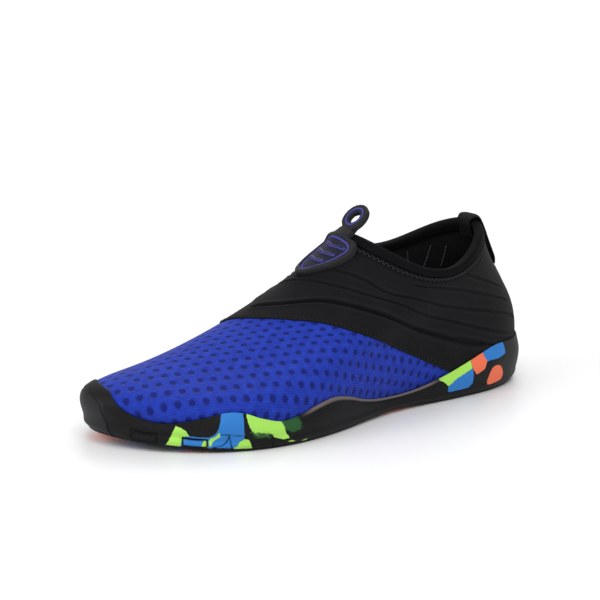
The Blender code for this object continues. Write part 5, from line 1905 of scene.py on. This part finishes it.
@dataclass
class Stitching:
    """Runs of small stitches along the seams."""

    thickness: float = 0.42 * MM
    length: float = 1.7 * MM
    pitch: float = 2.3 * MM
    lift: float = 0.12 * MM
    seam_ends: tuple[float, float] = (0.345, 1.655)
    seam_shifts: tuple[float, ...] = (0.9 * MM, 2.3 * MM)
    crease_shift: float = -2.0 * MM
    path_points: int = 900
    share_step: float = 0.01
    cover_thickness: float = 0.95 * MM
    cover_lift: float = 0.1 * MM
    cover_drops: tuple[float, float] = (-5.4 * MM, -8.0 * MM)
    cover_pitch: float = 2.7 * MM
    cover_points: int = 1200
    lining_thickness: float = 0.9 * MM
    lining_length: float = 2.4 * MM
    lining_pitch: float = 2.1 * MM
    lining_points: int = 30
    lining_lines: tuple[tuple[Place, ...], ...] = (
        corners((1.66, 0.89), (1.68, 0.79)), corners((1.76, 0.88), (1.74, 0.73)),
        corners((1.83, 0.85), (1.80, 0.69)), corners((0.34, 0.89), (0.32, 0.79)),
        corners((0.24, 0.88), (0.26, 0.73)), corners((0.17, 0.85), (0.20, 0.69)))
    around: int = 6
    rings: int = 5

    def run(self, name: str, path: Array, normals: Array, length: float, pitch: float,
            finish: Finish, thickness: float | None = None) -> Piece:
        """Lay stitches along a path.

        Args:
            name: Name of the piece.
            path: Points of the path.
            normals: Normals of the cloth at those points.
            length: Length of one stitch.
            pitch: Distance from stitch to stitch.
            finish: The thread.
            thickness: Thickness of the thread, if it isn't the usual one.

        Returns:
            One piece with all the stitches.
        """
        run = run_lengths(path)
        starts = np.arange(0.0, run[-1] - length, pitch)
        near, far, up = (np.stack([np.interp(at, run, values[:, axis]) for axis in range(3)],
                                  axis=-1)
                         for at, values in ((starts, path), (starts + length, path),
                                            (starts, normals)))
        return self.bars(name, near, far, unit(up), finish, thickness)

    def bars(self, name: str, near: Array, far: Array, up: Array, finish: Finish,
             thickness: float | None = None) -> Piece:
        """Lay one stitch from each near point to its far point.

        Args:
            name: Name of the piece.
            near: Where the stitches start.
            far: Where they end.
            up: Normals of the cloth.
            finish: The thread.
            thickness: Thickness of the thread, if it isn't the usual one.

        Returns:
            One piece with all the stitches.
        """
        along = far - near
        side = unit(np.cross(up, along))
        shares = np.linspace(0.0, 1.0, self.rings)
        swell = np.sqrt(np.maximum(1 - (2 * shares - 1) ** 2, 0.0)) * 0.8 + 0.2
        angles = full_turn(self.around)
        radius = (thickness or self.thickness) / 2
        count = len(near)
        near, along, side, up = (part[:, None, None] for part in (near, along, side, up))
        swell = swell[None, :, None, None]
        cosine, sine = (turned(angles)[None, None, :, None] for turned in (np.cos, np.sin))
        points = (near + along * shares[None, :, None, None]
                  + side * (cosine * radius * swell) + up * (sine * radius * swell))
        per = self.rings * self.around
        quads = band_quads(self.rings, self.around)
        caps = [list(range(self.around)), list(range(per - self.around, per))]
        faces = (quads[None] + np.arange(count)[:, None, None] * per).reshape(-1, 4).tolist()
        faces += [[index + step * per for index in cap] for step in range(count) for cap in caps]
        return dress(name, points, faces, finish)

    def along_line(self, line: Sequence[Place] | Callable, start: float, end: float,
                   shift: float, lift: float) -> tuple[Array, Array]:
        """Path over the quarter at a distance above a line.

        Args:
            line: Shares by turn, as a table or a function of angles.
            start: First turn.
            end: Last turn.
            shift: Distance up the cloth from the line.
            lift: Distance off the last.

        Returns:
            The path's points and normals.
        """
        angles = np.linspace(start, end, self.path_points) * math.pi
        base = line(angles) if callable(line) else curve_through(line, angles / math.pi)
        track, above = (LAST.points(angles, (base + step)[None])[0]
                        for step in (0.0, self.share_step))
        rise = np.linalg.norm(above - track, axis=-1) / self.share_step
        shares = (base + shift * slant(track, np.gradient(base) * rise) / rise)[None]
        return (LAST.offset(angles, shares, lift)[0], LAST.normals(angles, shares)[0])

    def zigzag(self) -> Piece:
        """Cover stitch below the collar binding."""
        paths = LAST.near_collar(full_turn(self.cover_points), np.array(self.cover_drops)[:, None],
                                 LAST.quarter_step + self.cover_lift)
        top = paths[0]
        run = run_lengths(top)
        places = np.arange(0.0, run[-1], self.cover_pitch / 2)
        ends = np.stack([[np.interp(places, run, path[:, axis]) for axis in range(3)]
                         for path in paths])
        points = np.where((np.arange(len(places)) % 2 == 0)[:, None], ends[0].T, ends[1].T)
        up = unit(np.cross(points[1:] - points[:-1], [0.0, 0.0, 1.0]))
        middle = top.mean(axis=0)
        up = up * np.sign((up * (points[:-1] - middle)).sum(axis=-1, keepdims=True))
        return self.bars("collar_cover_stitch", points[:-1], points[1:], up, Thread(),
                         self.cover_thickness)

    def build(self) -> None:
        """Build every run of stitches."""
        thread = Thread()
        lift = LAST.quarter_step + self.lift
        for index, shift in enumerate(self.seam_shifts):
            path, normals = self.along_line(LAST.seam_shares, *self.seam_ends, shift, lift)
            self.run(f"seam_stitches_{index + 1}", path, normals, self.length, self.pitch, thread)
        reliefs = Upper().both_sides()
        for side, line in (("outer", reliefs[0].line),
                           ("inner", reliefs[len(reliefs) // 2].line)):
            path, normals = self.along_line(line, line[1].turn, line[-2].turn,
                                            self.crease_shift, lift)
            self.run(f"crease_stitches_{side}", path, normals, self.length, self.pitch, thread)
        self.zigzag()
        self.lining_seams()

    def lining_seams(self) -> None:
        """Pale runs of thread down the lining below the collar."""
        thread = Thread(name="thread_grey", ink=Ink.SEAM_GREY)
        inside = -(LAST.wall + self.cover_lift)
        for index, (top, low) in enumerate(self.lining_lines):
            shares = np.linspace(top.share, low.share, self.lining_points)[:, None]
            angles = np.linspace(top.turn, low.turn, self.lining_points) * math.pi
            path = np.diagonal(LAST.offset(angles, shares, inside)).T
            facing = -np.diagonal(LAST.normals(angles, shares)).T
            self.run(f"lining_seam_{index + 1}", path, facing, self.lining_length,
                     self.lining_pitch, thread, self.lining_thickness)


class Lamp(NamedTuple):
    """A soft square light that faces the shoe."""

    name: str
    place: tuple[float, float, float]
    size: float
    power: float


@dataclass
class Studio:
    """Pale floor, soft lights and the camera."""

    target: tuple[float, float, float] = (0.1048, 0.0, 0.057)
    direction: tuple[float, float, float] = (0.6166, 0.7560, 0.2199)
    distance: float = 1.2
    lens: float = 144.8
    roll: float = math.radians(0.3)
    floor_radii: tuple[float, ...] = (0.3, 1.0, 2.5, 6.0)
    floor_corners: int = 64
    daylight: float = 0.62
    lamps: tuple[Lamp, ...] = (Lamp("key_light", (0.7, 1.1, 1.5), 1.2, 16.0),
                               Lamp("left_light", (1.6, -0.3, 0.9), 1.0, 10.0),
                               Lamp("back_light", (-0.9, -0.9, 1.2), 1.2, 10.0))

    def make_floor(self) -> None:
        """The floor, as a large disc."""
        count = self.floor_corners
        angles = full_turn(count)
        ring = np.stack([np.cos(angles), np.sin(angles), np.zeros(count)], axis=-1)
        rings = [np.zeros((1, 3))] + [ring * radius for radius in self.floor_radii]
        faces = [[0, 1 + step, 1 + (step + 1) % count] for step in range(count)]
        faces += (band_quads(len(self.floor_radii), count) + 1).tolist()
        floor = make_mesh("studio_floor", np.concatenate(rings), faces, placed=False)
        floor.data.materials.append(FloorPaint().material())

    def make_light(self, lamp: Lamp) -> None:
        """Hang up a lamp."""
        data = bpy.data.lights.new(lamp.name, "AREA")
        data.shape = "SQUARE"
        data.size = lamp.size
        data.energy = lamp.power
        light = linked(lamp.name, data)
        light.location = lamp.place
        facing = Vector(self.target) - Vector(lamp.place)
        light.rotation_euler = facing.to_track_quat("-Z", "Y").to_euler()

    def make_camera(self) -> None:
        """The camera, at the photograph's viewing angle."""
        camera_data = bpy.data.cameras.new("studio_camera")
        camera_data.lens = self.lens
        camera_data.sensor_width = 36.0
        camera_data.clip_start = 0.05
        camera = linked("studio_camera", camera_data)
        direction = Vector(self.direction).normalized()
        camera.location = Vector(self.target) + direction * self.distance
        turn = (-direction).to_track_quat("-Z", "Y").to_matrix().to_4x4()
        turn = turn @ Matrix.Rotation(self.roll, 4, "Z")
        camera.rotation_euler = turn.to_euler()
        bpy.context.scene.camera = camera

    def build(self) -> None:
        """Build the studio."""
        self.make_floor()
        for lamp in self.lamps:
            self.make_light(lamp)
        world = bpy.data.worlds.new("studio_world")
        world.use_nodes = True
        background = world.node_tree.nodes["Background"]
        background.inputs["Color"].default_value = (1.0, 1.0, 1.0, 1.0)
        background.inputs["Strength"].default_value = self.daylight
        bpy.context.scene.world = world
        bpy.context.scene.view_settings.view_transform = "Standard"
        self.make_camera()


def main() -> None:
    """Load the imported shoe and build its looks."""
    logging.basicConfig(level=logging.INFO, format="%(name)s: %(message)s")
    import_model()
    for part in (Studio, Upper, CupSole, Insole, CollarBinding, HeelPull, InstepTab, Stitching):
        part().build()


if __name__ == "__main__":
    main()
